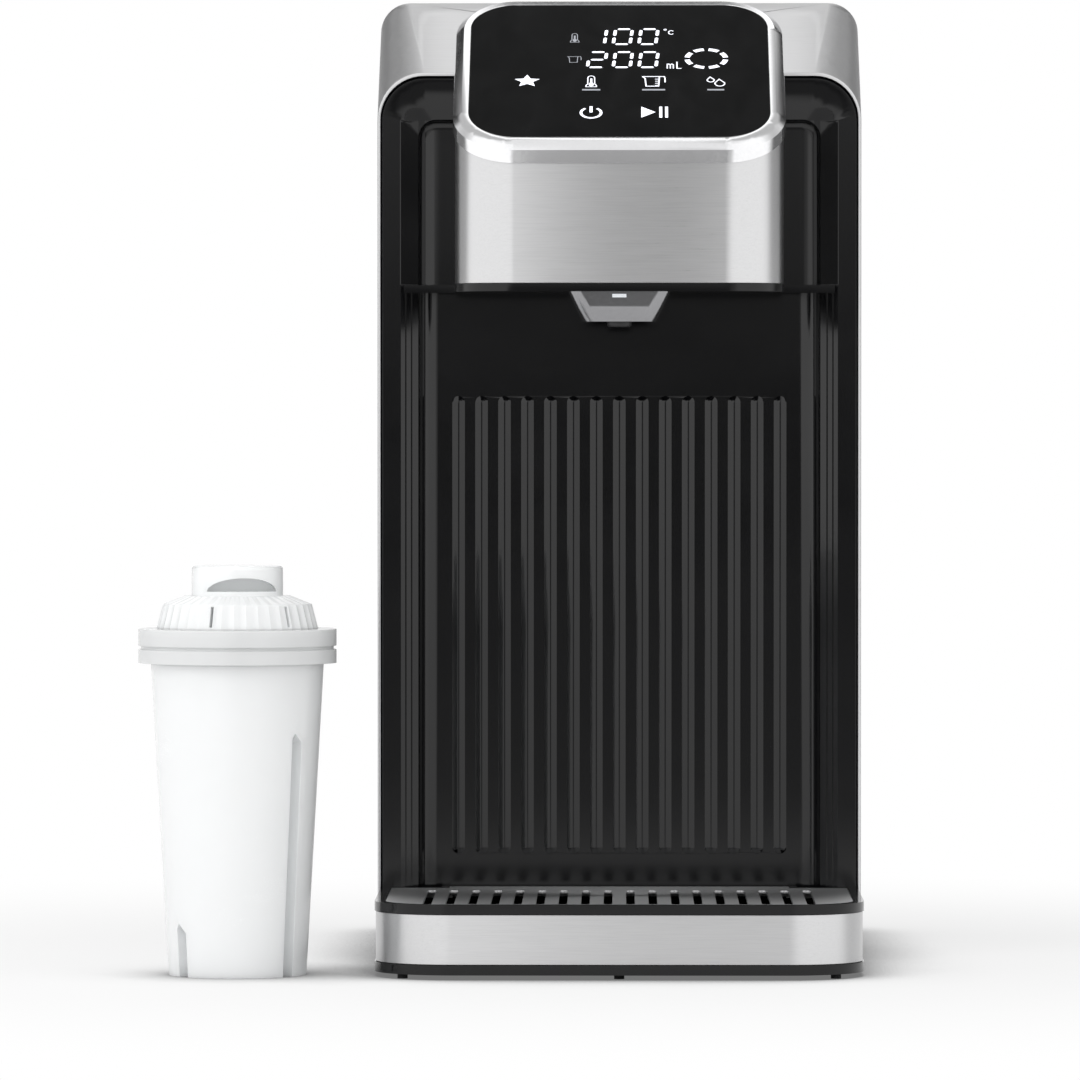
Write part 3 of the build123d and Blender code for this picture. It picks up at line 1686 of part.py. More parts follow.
# Hopper: a flange on the tank's rim, a basin, a socket in its floor, and the lid's two ears
hopper_foot = tank_top - hopper_depth
hopper_front_y = tank_front_y + hopper_front_inset
hopper_rear_y = tank_rear_y - hopper_rear_inset
socket_y = (hopper_front_y + hopper_rear_y) / 2
ear_x = lid_width / 2 + body_gap
with BuildPart() as tank_hopper:
    extrude(
        plan(
            level(tank_top), tank_width, tank_front_y, tank_rear_y, tank_front_radius, tank_rear_radius
        ),
        amount=hopper_flange,
    )
    extrude(
        plan(
            level(hopper_foot), hopper_width, hopper_front_y, hopper_rear_y, hopper_radius, hopper_radius
        ),
        amount=hopper_depth,
    )
    with BuildSketch(level(hopper_foot - socket_depth)):
        with Locations((0, socket_y)):
            Circle(socket_radius + socket_wall)
    extrude(amount=socket_depth)
    extrude(
        plan(
            level(hopper_foot + hopper_wall),
            hopper_width - 2 * hopper_wall,
            hopper_front_y + hopper_wall,
            hopper_rear_y - hopper_wall,
            hopper_radius - hopper_wall,
            hopper_radius - hopper_wall,
        ),
        amount=hopper_depth + hopper_flange,
        mode=Mode.SUBTRACT,
    )
    with BuildSketch(level(hopper_foot - socket_depth)):
        with Locations((0, socket_y)):
            Circle(socket_radius)
    extrude(amount=socket_depth + hopper_wall, mode=Mode.SUBTRACT)
    for ear_start, ear_way in ((ear_x, ear_thickness), (-ear_x, -ear_thickness)):
        with BuildSketch(sideways(ear_start)):
            with Locations((hinge_y, hinge_height)):
                Circle(ear_radius)
            with Locations((hinge_y, (hinge_height + tank_top) / 2)):
                Rectangle(2 * ear_radius, hinge_height - tank_top)
            with Locations((hinge_y, hinge_height)):
                Circle(pin_radius + shaft_gap, mode=Mode.SUBTRACT)
        extrude(amount=ear_way)
tank_hopper.part.label = "tank_hopper"
export_step(tank_hopper.part, "parts/tank_hopper.step")

# Lid: rounded at its rear edge about the hinge, with a pin at each side and a finger scoop
lid_front_y = tank_front_y + lid_front_inset
with BuildPart() as tank_lid:
    extrude(
        plan(level(lid_foot), lid_width, lid_front_y, hinge_y, lid_front_radius), amount=lid_thickness
    )
    with BuildSketch(sideways(-lid_width / 2)):
        with Locations((hinge_y, hinge_height)):
            Circle(lid_thickness / 2)
    extrude(amount=lid_width)
    with BuildSketch(sideways(-lid_width / 2 - pin_length)):
        with Locations((hinge_y, hinge_height)):
            Circle(pin_radius)
    extrude(amount=lid_width + 2 * pin_length)
    with BuildSketch(level(lid_foot + lid_thickness)):
        with Locations((0, lid_front_y + scoop_inset)):
            SlotOverall(scoop_length, scoop_width)
    extrude(amount=-scoop_depth, mode=Mode.SUBTRACT)
tank_lid.part.label = "tank_lid"
export_step(tank_lid.part, "parts/tank_lid.step")

# Valve body: neck through the tank's floor, seat, flange, and a cage with windows and a guide
neck_foot = tank_foot - neck_drop
seat_foot = tank_floor_top - seat_below_floor
seat_top = seat_foot + seat_thickness
cage_foot = tank_floor_top + valve_flange
roof_foot = cage_foot + cage_height
with BuildPart() as tank_valve_body:
    with BuildSketch(level(neck_foot)):
        with Locations((0, dock_y)):
            Circle(neck_radius)
    extrude(amount=tank_floor_top - neck_foot)
    with BuildSketch(level(tank_floor_top)):
        with Locations((0, dock_y)):
            Circle(valve_flange_radius)
    extrude(amount=valve_flange)
    with BuildSketch(level(cage_foot)):
        with Locations((0, dock_y)):
            Circle(cage_radius)
    extrude(amount=cage_height + cage_roof)
    with BuildSketch(level(neck_foot)):
        with Locations((0, dock_y)):
            Circle(neck_passage)
    extrude(amount=seat_foot - neck_foot, mode=Mode.SUBTRACT)
    with BuildSketch(level(seat_foot)):
        with Locations((0, dock_y)):
            Circle(seat_bore)
    extrude(amount=seat_thickness, mode=Mode.SUBTRACT)
    with BuildSketch(level(seat_top)):
        with Locations((0, dock_y)):
            Circle(cage_bore)
    extrude(amount=roof_foot - seat_top, mode=Mode.SUBTRACT)
    with BuildSketch(level(cage_foot)):
        with Locations((0, dock_y)):
            Rectangle(2 * cage_radius + overrun, cage_window)
            Rectangle(cage_window, 2 * cage_radius + overrun)
    extrude(amount=cage_height, mode=Mode.SUBTRACT)
    with BuildSketch(level(roof_foot)):
        with Locations((0, dock_y)):
            Circle(poppet_guide_radius + shaft_gap)
    extrude(amount=cage_roof, mode=Mode.SUBTRACT)
tank_valve_body.part.label = "tank_valve_body"
export_step(tank_valve_body.part, "parts/tank_valve_body.step")

# Poppet: a head over the seat, a stem down to the dock's pin, and a guide up through the cage
head_foot_height = seat_top + body_gap
with BuildPart() as valve_poppet:
    with BuildSketch(level(seat_foot)):
        with Locations((0, dock_y)):
            Circle(poppet_stem_radius)
    extrude(amount=head_foot_height - seat_foot)
    with BuildSketch(level(head_foot_height)):
        with Locations((0, dock_y)):
            Circle(poppet_head_radius)
    extrude(amount=poppet_head)
    with BuildSketch(level(head_foot_height + poppet_head)):
        with Locations((0, dock_y)):
            Circle(poppet_guide_radius)
    extrude(amount=poppet_guide_length)
valve_poppet.part.label = "valve_poppet"
export_step(valve_poppet.part, "parts/valve_poppet.step")

# Spring between the poppet's head and the cage's roof
spring_foot = head_foot_height + poppet_head + spring_wire
spring_top = roof_foot - spring_wire
spring_length = spring_top - spring_foot
with BuildPart() as valve_spring:
    with BuildLine():
        coil = Helix(
            pitch=spring_length / spring_turns,
            height=spring_length,
            radius=spring_radius,
            center=(0, dock_y, spring_foot),
        )
    with BuildSketch(Plane(origin=coil @ 0, z_dir=coil % 0)):
        RegularPolygon(spring_wire, spring_sides)
    sweep()
valve_spring.part.label = "valve_spring"
export_step(valve_spring.part, "parts/valve_spring.step")

# Filter cartridge: tapered shell with four grooves under a stepped flange
filter_slope = (filter_top_radius - filter_foot_radius) / filter_body_height
filter_top = filter_body_height + filter_flange_height
groove_foot = filter_body_height + filter_flange_foot
groove_top = groove_foot + filter_flange_groove
widening_radius = filter_foot_radius + filter_slope * filter_widening_height - filter_wall_foot
with BuildPart() as filter_shell:
    with BuildSketch(Plane.XZ):
        Polygon(
            (0, 0),
            (filter_foot_radius, 0),
            (filter_top_radius, filter_body_height),
            (filter_flange_radius, filter_body_height),
            (filter_flange_radius, groove_foot),
            (filter_groove_radius, groove_foot),
            (filter_groove_radius, groove_top),
            (filter_flange_radius, groove_top),
            (filter_flange_radius, filter_top),
            (filter_top_radius - filter_wall_top, filter_top),
            (filter_top_radius - filter_wall_top, filter_body_height),
            (widening_radius, filter_widening_height),
            (filter_foot_radius - filter_wall_foot, filter_floor),
            (0, filter_floor),
            align=None,
        )
    revolve(axis=Axis.Z)
    for flute_turn, flute_height in (
        (-flute_angle, short_flute),
        (flute_angle, long_flute),
        (180 - flute_angle, short_flute),
        (180 + flute_angle, long_flute),
    ):
        outward_x = sin(radians(flute_turn))
        outward_y = -cos(radians(flute_turn))
        flute_floor = filter_foot_radius - flute_depth
        flute_plane = Plane(
            origin=(flute_floor * outward_x, flute_floor * outward_y, 0),
            x_dir=(-outward_y, outward_x, 0),
            z_dir=(outward_x, outward_y, -filter_slope),
        )
        half_flute = flute_width / 2
        with BuildSketch(flute_plane):
            Polygon(
                (-half_flute, -overrun),
                (half_flute, -overrun),
                (half_flute, flute_height - flute_slant),
                (-half_flute * flute_tip_share, flute_height),
                (-half_flute, flute_height - flute_slant * flute_tip_share),
                align=None,
            )
        extrude(amount=flute_depth + overrun, mode=Mode.SUBTRACT)
filter_shell.part.locate(Location((filter_x, filter_y, 0)))
filter_shell.part.label = "filter_shell"
export_step(filter_shell.part, "parts/filter_shell.step")


def ribbed_outline(height, radius):
    """Fluted outline of the filter's cap at a height."""
    corners = []
    for step in range(2 * cap_ribs):
        reach = radius - cap_rib_depth * (step % 2)
        turn = radians(180 * step / cap_ribs)
        corners.append((reach * cos(turn), reach * sin(turn)))
    with BuildSketch(level(height)) as outline:
        Polygon(*corners, align=None)
    return outline.sketch


# Cap of the filter: ribbed dome with vent slots, and a knob with a recessed grip
cap_shoulder = filter_top + cap_shoulder_height
cap_top = filter_top + cap_height
grip_middle = cap_top + grip_foot + grip_height / 2
with BuildPart() as filter_cap:
    loft(
        [ribbed_outline(filter_top, cap_foot_radius), ribbed_outline(cap_shoulder, cap_shoulder_radius)],
        ruled=True,
    )
    loft(
        [ribbed_outline(cap_shoulder, cap_shoulder_radius), ribbed_outline(cap_top, cap_top_radius)],
        ruled=True,
    )
    with BuildSketch(level(cap_top)):
        Circle(knob_radius)
    extrude(amount=knob_height)
    fillet(filter_cap.edges().group_by(Axis.Z)[-1], knob_rounding)
    with BuildSketch(level(filter_top)):
        Circle(cap_cavity_radius)
    extrude(amount=cap_cavity_height, mode=Mode.SUBTRACT)
    with BuildSketch(level(filter_top + vent_slot_foot)):
        with Locations(Rotation(0, 0, -90 - vent_slot_turn)):
            with PolarLocations(cap_foot_radius, vent_slots):
                Rectangle(2 * vent_slot_depth, vent_slot_width)
    extrude(amount=vent_slot_height, mode=Mode.SUBTRACT)
    grip_plane = Plane(
        origin=(0, 0, grip_middle),
        x_dir=(cos(radians(grip_turn)), sin(radians(grip_turn)), 0),
        z_dir=(sin(radians(grip_turn)), -cos(radians(grip_turn)), 0),
    )
    with BuildSketch(grip_plane.offset(knob_radius - grip_depth)):
        with Locations((0, -grip_height / 2)):
            Ellipse(grip_width / 2, grip_height)
        with Locations((0, -grip_height)):
            Rectangle(grip_width, grip_height, mode=Mode.SUBTRACT)
    extrude(amount=grip_depth + overrun, mode=Mode.SUBTRACT)
filter_cap.part.locate(Location((filter_x, filter_y, 0)))
filter_cap.part.label = "filter_cap"
export_step(filter_cap.part, "parts/filter_cap.step")

# Filter medium, which fills the shell
medium_foot_radius = filter_foot_radius - filter_wall_foot - fit_gap
with BuildPart() as filter_medium:
    with BuildSketch(Plane.XZ):
        Polygon(
            (0, filter_floor),
            (medium_foot_radius, filter_floor),
            (widening_radius - fit_gap, filter_widening_height),
            (0, filter_widening_height),
            align=None,
        )
    revolve(axis=Axis.Z)
filter_medium.part.locate(Location((filter_x, filter_y, 0)))
filter_medium.part.label = "filter_medium"
export_step(filter_medium.part, "parts/filter_medium.step")
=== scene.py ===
"""Looks of the hot water dispenser: materials, lit panel symbols, floor, light and camera."""

import math

import bmesh
import bpy
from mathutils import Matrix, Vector


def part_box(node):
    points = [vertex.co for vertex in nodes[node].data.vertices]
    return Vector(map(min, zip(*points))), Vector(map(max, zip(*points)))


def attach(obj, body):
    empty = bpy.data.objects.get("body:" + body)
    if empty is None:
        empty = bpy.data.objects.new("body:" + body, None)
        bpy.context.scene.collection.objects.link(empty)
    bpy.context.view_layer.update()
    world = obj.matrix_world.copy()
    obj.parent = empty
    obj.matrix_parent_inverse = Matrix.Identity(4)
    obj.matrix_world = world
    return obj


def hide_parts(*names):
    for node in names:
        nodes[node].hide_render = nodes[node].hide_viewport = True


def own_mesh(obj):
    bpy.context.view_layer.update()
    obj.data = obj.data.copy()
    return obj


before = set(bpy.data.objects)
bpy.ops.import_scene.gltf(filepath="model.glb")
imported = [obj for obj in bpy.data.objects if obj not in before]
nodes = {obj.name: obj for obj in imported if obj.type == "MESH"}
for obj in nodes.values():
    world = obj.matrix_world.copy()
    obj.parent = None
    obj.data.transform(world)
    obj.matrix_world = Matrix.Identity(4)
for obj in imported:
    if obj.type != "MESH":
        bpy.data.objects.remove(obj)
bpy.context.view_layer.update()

# Places on the machine, in metres, as the solids have them
CREST_Y = 0.0065
CREST_Z = 0.3196
SLOPE = math.radians(30)
GLASS_RISE = 0.00185
STEP_TOP = 0.279
FLANGE_LOW = 0.1005
FLANGE_HIGH = 0.1125

# Camera at the photograph's viewing angle
SENSOR_WIDTH = 36.0
FOCAL_LENGTH = 281.2
FAR_CLIP = 100.0
CAMERA_PLACE = (0, -2.837, 0.186)
CAMERA_HEADING = (-0.0094, 1.0, -0.0166)

camera_data = bpy.data.cameras.new("camera")
camera_data.sensor_width = SENSOR_WIDTH
camera_data.lens = FOCAL_LENGTH
camera_data.clip_end = FAR_CLIP
camera = bpy.data.objects.new("camera", camera_data)
camera.location = CAMERA_PLACE
camera.rotation_euler = Vector(CAMERA_HEADING).to_track_quat("-Z", "Y").to_euler()
bpy.context.scene.collection.objects.link(camera)
bpy.context.scene.camera = camera
bpy.context.scene.view_settings.view_transform = "Standard"


class Tree:
    """Node tree of one material or of the world, with short calls for the nodes used here."""

    def __init__(self, owner):
        owner.use_nodes = True
        self.nodes = owner.node_tree.nodes
        self.links = owner.node_tree.links
        self.nodes.clear()

    def add(self, kind, inputs=None, **settings):
        """New node with its settings, and a value or a link on each input that is given."""
        node = self.nodes.new(kind)
        for name, value in settings.items():
            setattr(node, name, value)
        for name, value in (inputs or {}).items():
            self.put(node.inputs[name], value)
        return node

    def put(self, socket, value):
        if isinstance(value, bpy.types.NodeSocket):
            self.links.new(value, socket)
        else:
            socket.default_value = value

    def place(self, scale=(1, 1, 1)):
        """Object coordinates, in metres, stretched by scale."""
        coordinates = self.add("ShaderNodeTexCoord").outputs["Object"]
        mapping = self.add("ShaderNodeMapping", {"Vector": coordinates, "Scale": scale})
        return mapping.outputs["Vector"]

    def split(self, vector):
        """The X, Y and Z of a vector."""
        return self.add("ShaderNodeSeparateXYZ", {"Vector": vector}).outputs

    def normal(self):
        return self.add("ShaderNodeNewGeometry").outputs["Normal"]

    def noise(self, place, scale, detail=3.0, roughness=0.5, distortion=0.0):
        inputs = {
            "Vector": place,
            "Scale": scale,
            "Detail": detail,
            "Roughness": roughness,
            "Distortion": distortion,
        }
        return self.add("ShaderNodeTexNoise", inputs).outputs["Fac"]

    def cells(self, place, scale, randomness=1.0):
        inputs = {"Vector": place, "Scale": scale, "Randomness": randomness}
        return self.add("ShaderNodeTexVoronoi", inputs).outputs["Distance"]

    def remap(self, value, low, high, start=0.0, end=1.0, smooth=False):
        """Value that runs from start to end while another runs from low to high."""
        inputs = {
            "Value": value,
            "From Min": low,
            "From Max": high,
            "To Min": start,
            "To Max": end,
        }
        kind = "SMOOTHSTEP" if smooth else "LINEAR"
        return self.add("ShaderNodeMapRange", inputs, interpolation_type=kind).outputs["Result"]

    def math(self, operation, first, second=0.0):
        node = self.add("ShaderNodeMath", operation=operation)
        self.put(node.inputs[0], first)
        self.put(node.inputs[1], second)
        return node.outputs[0]

    def times(self, first, second):
        return self.math("MULTIPLY", first, second)

    def wrap(self, value, reach):
        """Value brought round into the range from -reach to reach."""
        node = self.add("ShaderNodeMath", operation="WRAP")
        for socket, number in zip(node.inputs, (value, reach, -reach)):
            self.put(socket, number)
        return node.outputs[0]

    def ramp(self, value, stops):
        """Colour ramp through (position, colour) stops."""
        node = self.add("ShaderNodeValToRGB", {"Fac": value})
        points = node.color_ramp.elements
        while len(points) < len(stops):
            points.new(0.5)
        for point, (position, colour) in zip(points, stops):
            point.position = position
            point.color = (*colour, 1)
        return node.outputs["Color"]

    def mix(self, factor, first, second):
        """Number between two others."""
        node = self.add("ShaderNodeMix", data_type="FLOAT")
        self.put(node.inputs["Factor"], factor)
        self.put(node.inputs[2], first)
        self.put(node.inputs[3], second)
        return node.outputs[0]

    def blend(self, factor, first, second):
        """Colour between two others, each a plain colour or a map."""
        node = self.add("ShaderNodeMix", data_type="RGBA")
        self.put(node.inputs["Factor"], factor)
        for socket, colour in ((node.inputs[6], first), (node.inputs[7], second)):
            self.put(socket, (*colour, 1) if isinstance(colour, tuple) else colour)
        return node.outputs[2]

    def bump(self, height, distance, strength=1.0, below=None):
        """Normal over a relief, on top of the normal below it."""
        inputs = {"Height": height, "Distance": distance, "Strength": strength}
        if below is not None:
            inputs["Normal"] = below
        return self.add("ShaderNodeBump", inputs).outputs["Normal"]

    def crown(self, even, late):
        """Normal of a face that bulges across X: evenly, and late towards its two sides."""
        across = self.split(self.place())["X"]
        square = self.times(across, across)
        bulge = self.times(square, -even / 2)
        fall = self.times(self.times(square, square), -late / 4)
        return self.bump(self.math("ADD", bulge, fall), 1.0)

    def turned_sides(self, bands, foot, head):
        """Normal that turns outwards, and a trace downwards, in bands between foot and head."""
        edge, fade, droop = 0.0003, 0.001, 0.022
        parts = self.split(self.place())
        away = self.math("ABSOLUTE", parts["X"])
        total = 0.0
        for inner, rise, outer, turn in bands:
            near = self.remap(away, inner, inner + rise)
            inside = self.times(self.remap(away, outer + edge, outer), turn)
            share = self.times(self.times(near, near), inside)
            total = self.math("ADD", share, total)
        above = self.remap(parts["Z"], foot, foot + edge)
        level = self.times(above, self.remap(parts["Z"], head, head - fade))
        total = self.times(total, level)
        sideways = self.times(total, self.math("SIGN", parts["X"]))
        downwards = self.times(total, -droop)
        added = self.add("ShaderNodeCombineXYZ", {"X": sideways, "Z": downwards}).outputs[0]
        leaning = self.add(
            "ShaderNodeVectorMath", {0: self.normal(), 1: added}, operation="ADD"
        )
        unit = self.add("ShaderNodeVectorMath", {0: leaning.outputs[0]}, operation="NORMALIZE")
        return unit.outputs[0]

    def surface(self, constants=None, **linked):
        """Principled shader with plain constants on its sockets and linked maps."""
        shader = self.add("ShaderNodeBsdfPrincipled", constants)
        for name, value in linked.items():
            self.put(shader.inputs[name.replace("_", " ")], value)
        self.output("ShaderNodeOutputMaterial", shader)

    def output(self, kind, shader):
        node = self.add(kind)
        self.links.new(shader.outputs[0], node.inputs["Surface"])


def grey(value):
    return (value, value, value)


def tinted(colour, factor):
    return tuple(channel * factor for channel in colour)


def material(name):
    made = bpy.data.materials.new(name)
    return made, Tree(made)


def moulded(
    name, colour, roughness, grain=0.00002, specular=0.5, spread=0.12, coat=0.0, depth=0.0,
    turned=None, painted_shade_band=None,
):
    """Moulded plastic: slight clouding of its colour, a fine eroded grain and uneven gloss.

    grain is the depth of its pits, spread the strength of the clouding and depth how far light
    goes in. turned holds what turned_sides takes. The last argument holds a lower height, an
    upper height and the share of grey between them: a band of painted shade on the surface.
    """
    grain_scale = 9000.0
    made, tree = material(name)
    place = tree.place()
    cloud = tree.noise(place, scale=38.0, detail=5.0)
    speckle = tree.noise(place, scale=grain_scale * 0.4, detail=2.0)
    mottled = tree.ramp(
        cloud, [(0.3, tinted(colour, 1 - spread)), (0.7, tinted(colour, 1 + spread))]
    )
    specks = tree.remap(speckle, 0.35, 0.65, 0.0, 0.25)
    base = tree.blend(specks, mottled, tinted(colour, 1 - 1.5 * spread))
    # Painted shade: the surface between the two given heights is mixed towards grey
    if painted_shade_band:
        low, high, share = painted_shade_band
        edge = 0.0002
        height = tree.split(place)["Z"]
        above = tree.remap(height, low - edge, low + edge)
        band = tree.times(above, tree.remap(height, high + edge, high - edge))
        base = tree.blend(tree.times(band, share), base, grey(0.5))
    wiped = tree.noise(tree.place((9, 9, 16)), scale=3.0, detail=4.0)
    gloss = tree.math(
        "ADD",
        tree.remap(wiped, 0.3, 0.7, roughness * 0.88, roughness * 1.12),
        tree.remap(speckle, 0.3, 0.7, -0.015, 0.015),
    )
    pits = tree.noise(place, scale=grain_scale, detail=2.0)
    below = tree.turned_sides(*turned) if turned else None
    relief = tree.bump(pits, grain, 0.5, tree.bump(cloud, grain * 1.5, 0.25, below))
    constants = {"Specular IOR Level": specular, "Coat Weight": coat, "Coat Roughness": 0.08}
    if depth:
        constants.update({"Subsurface Weight": 0.35, "Subsurface Scale": depth})
        constants["Subsurface Radius"] = (1.0, 1.0, 1.0)
    tree.surface(constants, Base_Color=base, Roughness=gloss, Normal=relief)
    return made


def brushed(name, colour, roughness, round_axis, anisotropy=0.75, crown=0.0, droop=0.0):
    """Brushed sheet bent round an axis: its hair lines follow the bend, and its faces bulge."""
    made, tree = material(name)
    facing = tree.math("ABSOLUTE", tree.split(tree.normal())["X"])
    sideways = tree.remap(facing, 0.55, 0.85, smooth=True)
    drawn_out = 0.02
    stretch = {"Y": (1, 1, drawn_out), "Z": (1, drawn_out, 1)}[round_axis]

    def hair(scale, detail):
        along_x = tree.noise(tree.place((drawn_out, 1, 1)), scale, detail)
        on_sides = tree.noise(tree.place(stretch), scale, detail)
        return tree.mix(sideways, along_x, on_sides)

    fine = hair(5200.0, 4.0)
    coarse = hair(1500.0, 3.0)
    cloud = tree.noise(tree.place((4, 4, 4)), scale=2.0, detail=3.0)
    streaks = tree.math("ADD", tree.times(fine, 0.65), tree.times(coarse, 0.35))
    toned = tree.ramp(
        streaks, [(0.32, tinted(colour, 0.93)), (0.5, colour), (0.68, tinted(colour, 1.04))]
    )
    base = tree.blend(tree.remap(cloud, 0.3, 0.7, 0.0, 0.2), toned, tinted(colour, 0.95))
    rough = tree.math(
        "ADD",
        tree.remap(streaks, 0.3, 0.7, roughness * 0.92, roughness * 1.1),
        tree.remap(cloud, 0.3, 0.7, -0.02, 0.02),
    )
    relief = tree.bump(streaks, 0.0000012, 0.6, tree.crown(crown, droop))
    tangent = tree.add("ShaderNodeTangent", direction_type="RADIAL", axis=round_axis)
    tree.surface(
        {"Metallic": 1.0, "Anisotropic": anisotropy, "Anisotropic Rotation": 0.25},
        Base_Color=base,
        Roughness=rough,
        Normal=relief,
        Tangent=tangent.outputs["Tangent"],
    )
    return made


def plated(name, colour, roughness, ripple=0.000006, grain_scale=900.0, droop=0.0):
    """Plated or polished metal: faint waviness, fine polishing haze and uneven gloss."""
    made, tree = material(name)
    place = tree.place()
    wave = tree.noise(place, scale=60.0, detail=2.0)
    haze = tree.noise(place, scale=grain_scale, detail=4.0)
    toned = tree.ramp(wave, [(0.3, tinted(colour, 0.95)), (0.7, colour)])
    base = tree.blend(tree.remap(haze, 0.4, 0.7, 0.0, 0.3), toned, tinted(colour, 0.9))
    rough = tree.remap(haze, 0.3, 0.7, roughness * 0.8, roughness * 1.25)
    shape = tree.bump(wave, ripple, 0.5, tree.crown(0.0, droop) if droop else None)
    relief = tree.bump(haze, ripple * 0.3, 0.4, shape)
    tree.surface({"Metallic": 1.0}, Base_Color=base, Roughness=rough, Normal=relief)
    return made


def cast(name, colour, roughness):
    """Cast or formed metal: a sandy skin with darker hollows."""
    made, tree = material(name)
    place = tree.place()
    sand = tree.noise(place, scale=1800.0, detail=6.0, roughness=0.65)
    stain = tree.noise(place, scale=30.0, detail=4.0)
    toned = tree.ramp(sand, [(0.35, tinted(colour, 0.7)), (0.6, colour)])
    base = tree.blend(tree.remap(stain, 0.4, 0.7, 0.0, 0.4), toned, tinted(colour, 0.78))
    rough = tree.remap(stain, 0.3, 0.7, roughness * 0.85, roughness * 1.15)
    relief = tree.bump(sand, 0.00008, 0.5)
    tree.surface({"Metallic": 1.0}, Base_Color=base, Roughness=rough, Normal=relief)
    return made


def clear(name, colour, roughness, transmission, ior):
    """Clear or smoky plastic with flow marks from moulding and a little surface haze."""
    made, tree = material(name)
    flow = tree.noise(tree.place((6, 6, 1.5)), scale=4.0, detail=4.0, distortion=0.6)
    haze = tree.noise(tree.place(), scale=1500.0, detail=3.0)
    base = tree.ramp(flow, [(0.3, tinted(colour, 0.93)), (0.7, tinted(colour, 1.04))])
    rough = tree.remap(haze, 0.3, 0.7, roughness * 0.7, roughness * 1.4)
    relief = tree.bump(haze, 0.000004, 0.3, tree.bump(flow, 0.00006, 0.2))
    constants = {"Transmission Weight": transmission, "IOR": ior}
    tree.surface(constants, Base_Color=base, Roughness=rough, Normal=relief)
    return made


def panel_glass(name):
    """Black-backed touch glass with a trace of wiping marks."""
    made, tree = material(name)
    wiped = tree.noise(tree.place((14, 3, 14)), scale=6.0, detail=5.0, distortion=0.8)
    base = tree.ramp(wiped, [(0.3, (0.0082, 0.0083, 0.0084)), (0.75, (0.0096, 0.0097, 0.0099))])
    rough = tree.remap(wiped, 0.3, 0.75, 0.07, 0.13)
    relief = tree.bump(tree.noise(tree.place(), scale=300.0), 0.000002, 0.3)
    tree.surface({"Specular IOR Level": 0.06}, Base_Color=base, Roughness=rough, Normal=relief)
    return made


def rubbery(name, colour, roughness):
    """Soft rubber or silicone: matt, powdery, with faint flow lines."""
    made, tree = material(name)
    place = tree.place()
    powder = tree.noise(place, scale=2500.0, detail=4.0)
    bloom = tree.noise(place, scale=45.0, detail=4.0)
    toned = tree.ramp(bloom, [(0.3, tinted(colour, 0.85)), (0.7, tinted(colour, 1.2))])
    base = tree.blend(tree.remap(powder, 0.4, 0.7, 0.0, 0.4), toned, tinted(colour, 1.5))
    rough = tree.remap(bloom, 0.3, 0.7, roughness * 0.92, roughness * 1.06)
    relief = tree.bump(powder, 0.00003, 0.5)
    constants = {"Specular IOR Level": 0.35, "Sheen Weight": 0.1}
    tree.surface(constants, Base_Color=base, Roughness=rough, Normal=relief)
    return made


def granules(name, colour):
    """Bed of carbon and resin grains."""
    resin = (0.45, 0.38, 0.26)
    made, tree = material(name)
    place = tree.place()
    grains = tree.cells(place, scale=700.0)
    pick = tree.noise(place, scale=500.0, detail=1.0)
    toned = tree.ramp(pick, [(0.48, colour), (0.56, resin)])
    # Painted shade: darker in the gaps between the grains
    base = tree.blend(tree.remap(grains, 0.3, 0.7), toned, tinted(colour, 0.3))
    rough = tree.remap(grains, 0.0, 0.6, 0.5, 0.9)
    relief = tree.bump(tree.times(grains, -1.0), 0.0004, 1.0)
    tree.surface({"Specular IOR Level": 0.3}, Base_Color=base, Roughness=rough, Normal=relief)
    return made


def circuit(name, colour):
    """Circuit board: green mask over copper tracks, with tinned pads."""
    tin = (0.55, 0.53, 0.48)
    made, tree = material(name)
    place = tree.place()
    tracks = tree.cells(place, scale=240.0, randomness=0.2)
    wander = tree.noise(place, scale=160.0, detail=1.0)
    pads = tree.cells(place, scale=420.0, randomness=0.0)
    track = tree.remap(tree.math("ADD", tracks, wander), 0.86, 0.9)
    copper = tree.blend(track, colour, tinted(colour, 1.9))
    pad = tree.remap(pads, 0.16, 0.13)
    base = tree.blend(pad, copper, tin)
    rough = tree.remap(track, 0.0, 1.0, 0.38, 0.3)
    relief = tree.bump(tree.math("ADD", track, pad), 0.00003, 0.6)
    tree.surface({"Specular IOR Level": 0.5}, Base_Color=base, Roughness=rough, Normal=relief)
    return made


def lit(name, colour, strength):
    """Milky light window or lit symbol, a little uneven over its area."""
    made, tree = material(name)
    uneven = tree.noise(tree.place(), scale=220.0, detail=2.0)
    base = tree.ramp(uneven, [(0.3, tinted(colour, 0.93)), (0.7, colour)])
    rough = tree.remap(uneven, 0.3, 0.7, 0.3, 0.45)
    relief = tree.bump(tree.noise(tree.place(), scale=4000.0), 0.000006, 0.3)
    constants = {"Emission Strength": strength}
    tree.surface(
        constants, Base_Color=base, Emission_Color=base, Roughness=rough, Normal=relief
    )
    return made


# Bands of the fascia beside the head, by distance from the middle, whose shading is turned
# outwards: where a band starts, how soon it has its full turn, where it ends, and the turn
PANEL_EDGE = (0.0585, 0.0060, 0.0645, 0.38)
SIDE_STEP = (0.0665, 0.0003, 0.0725, 0.57)

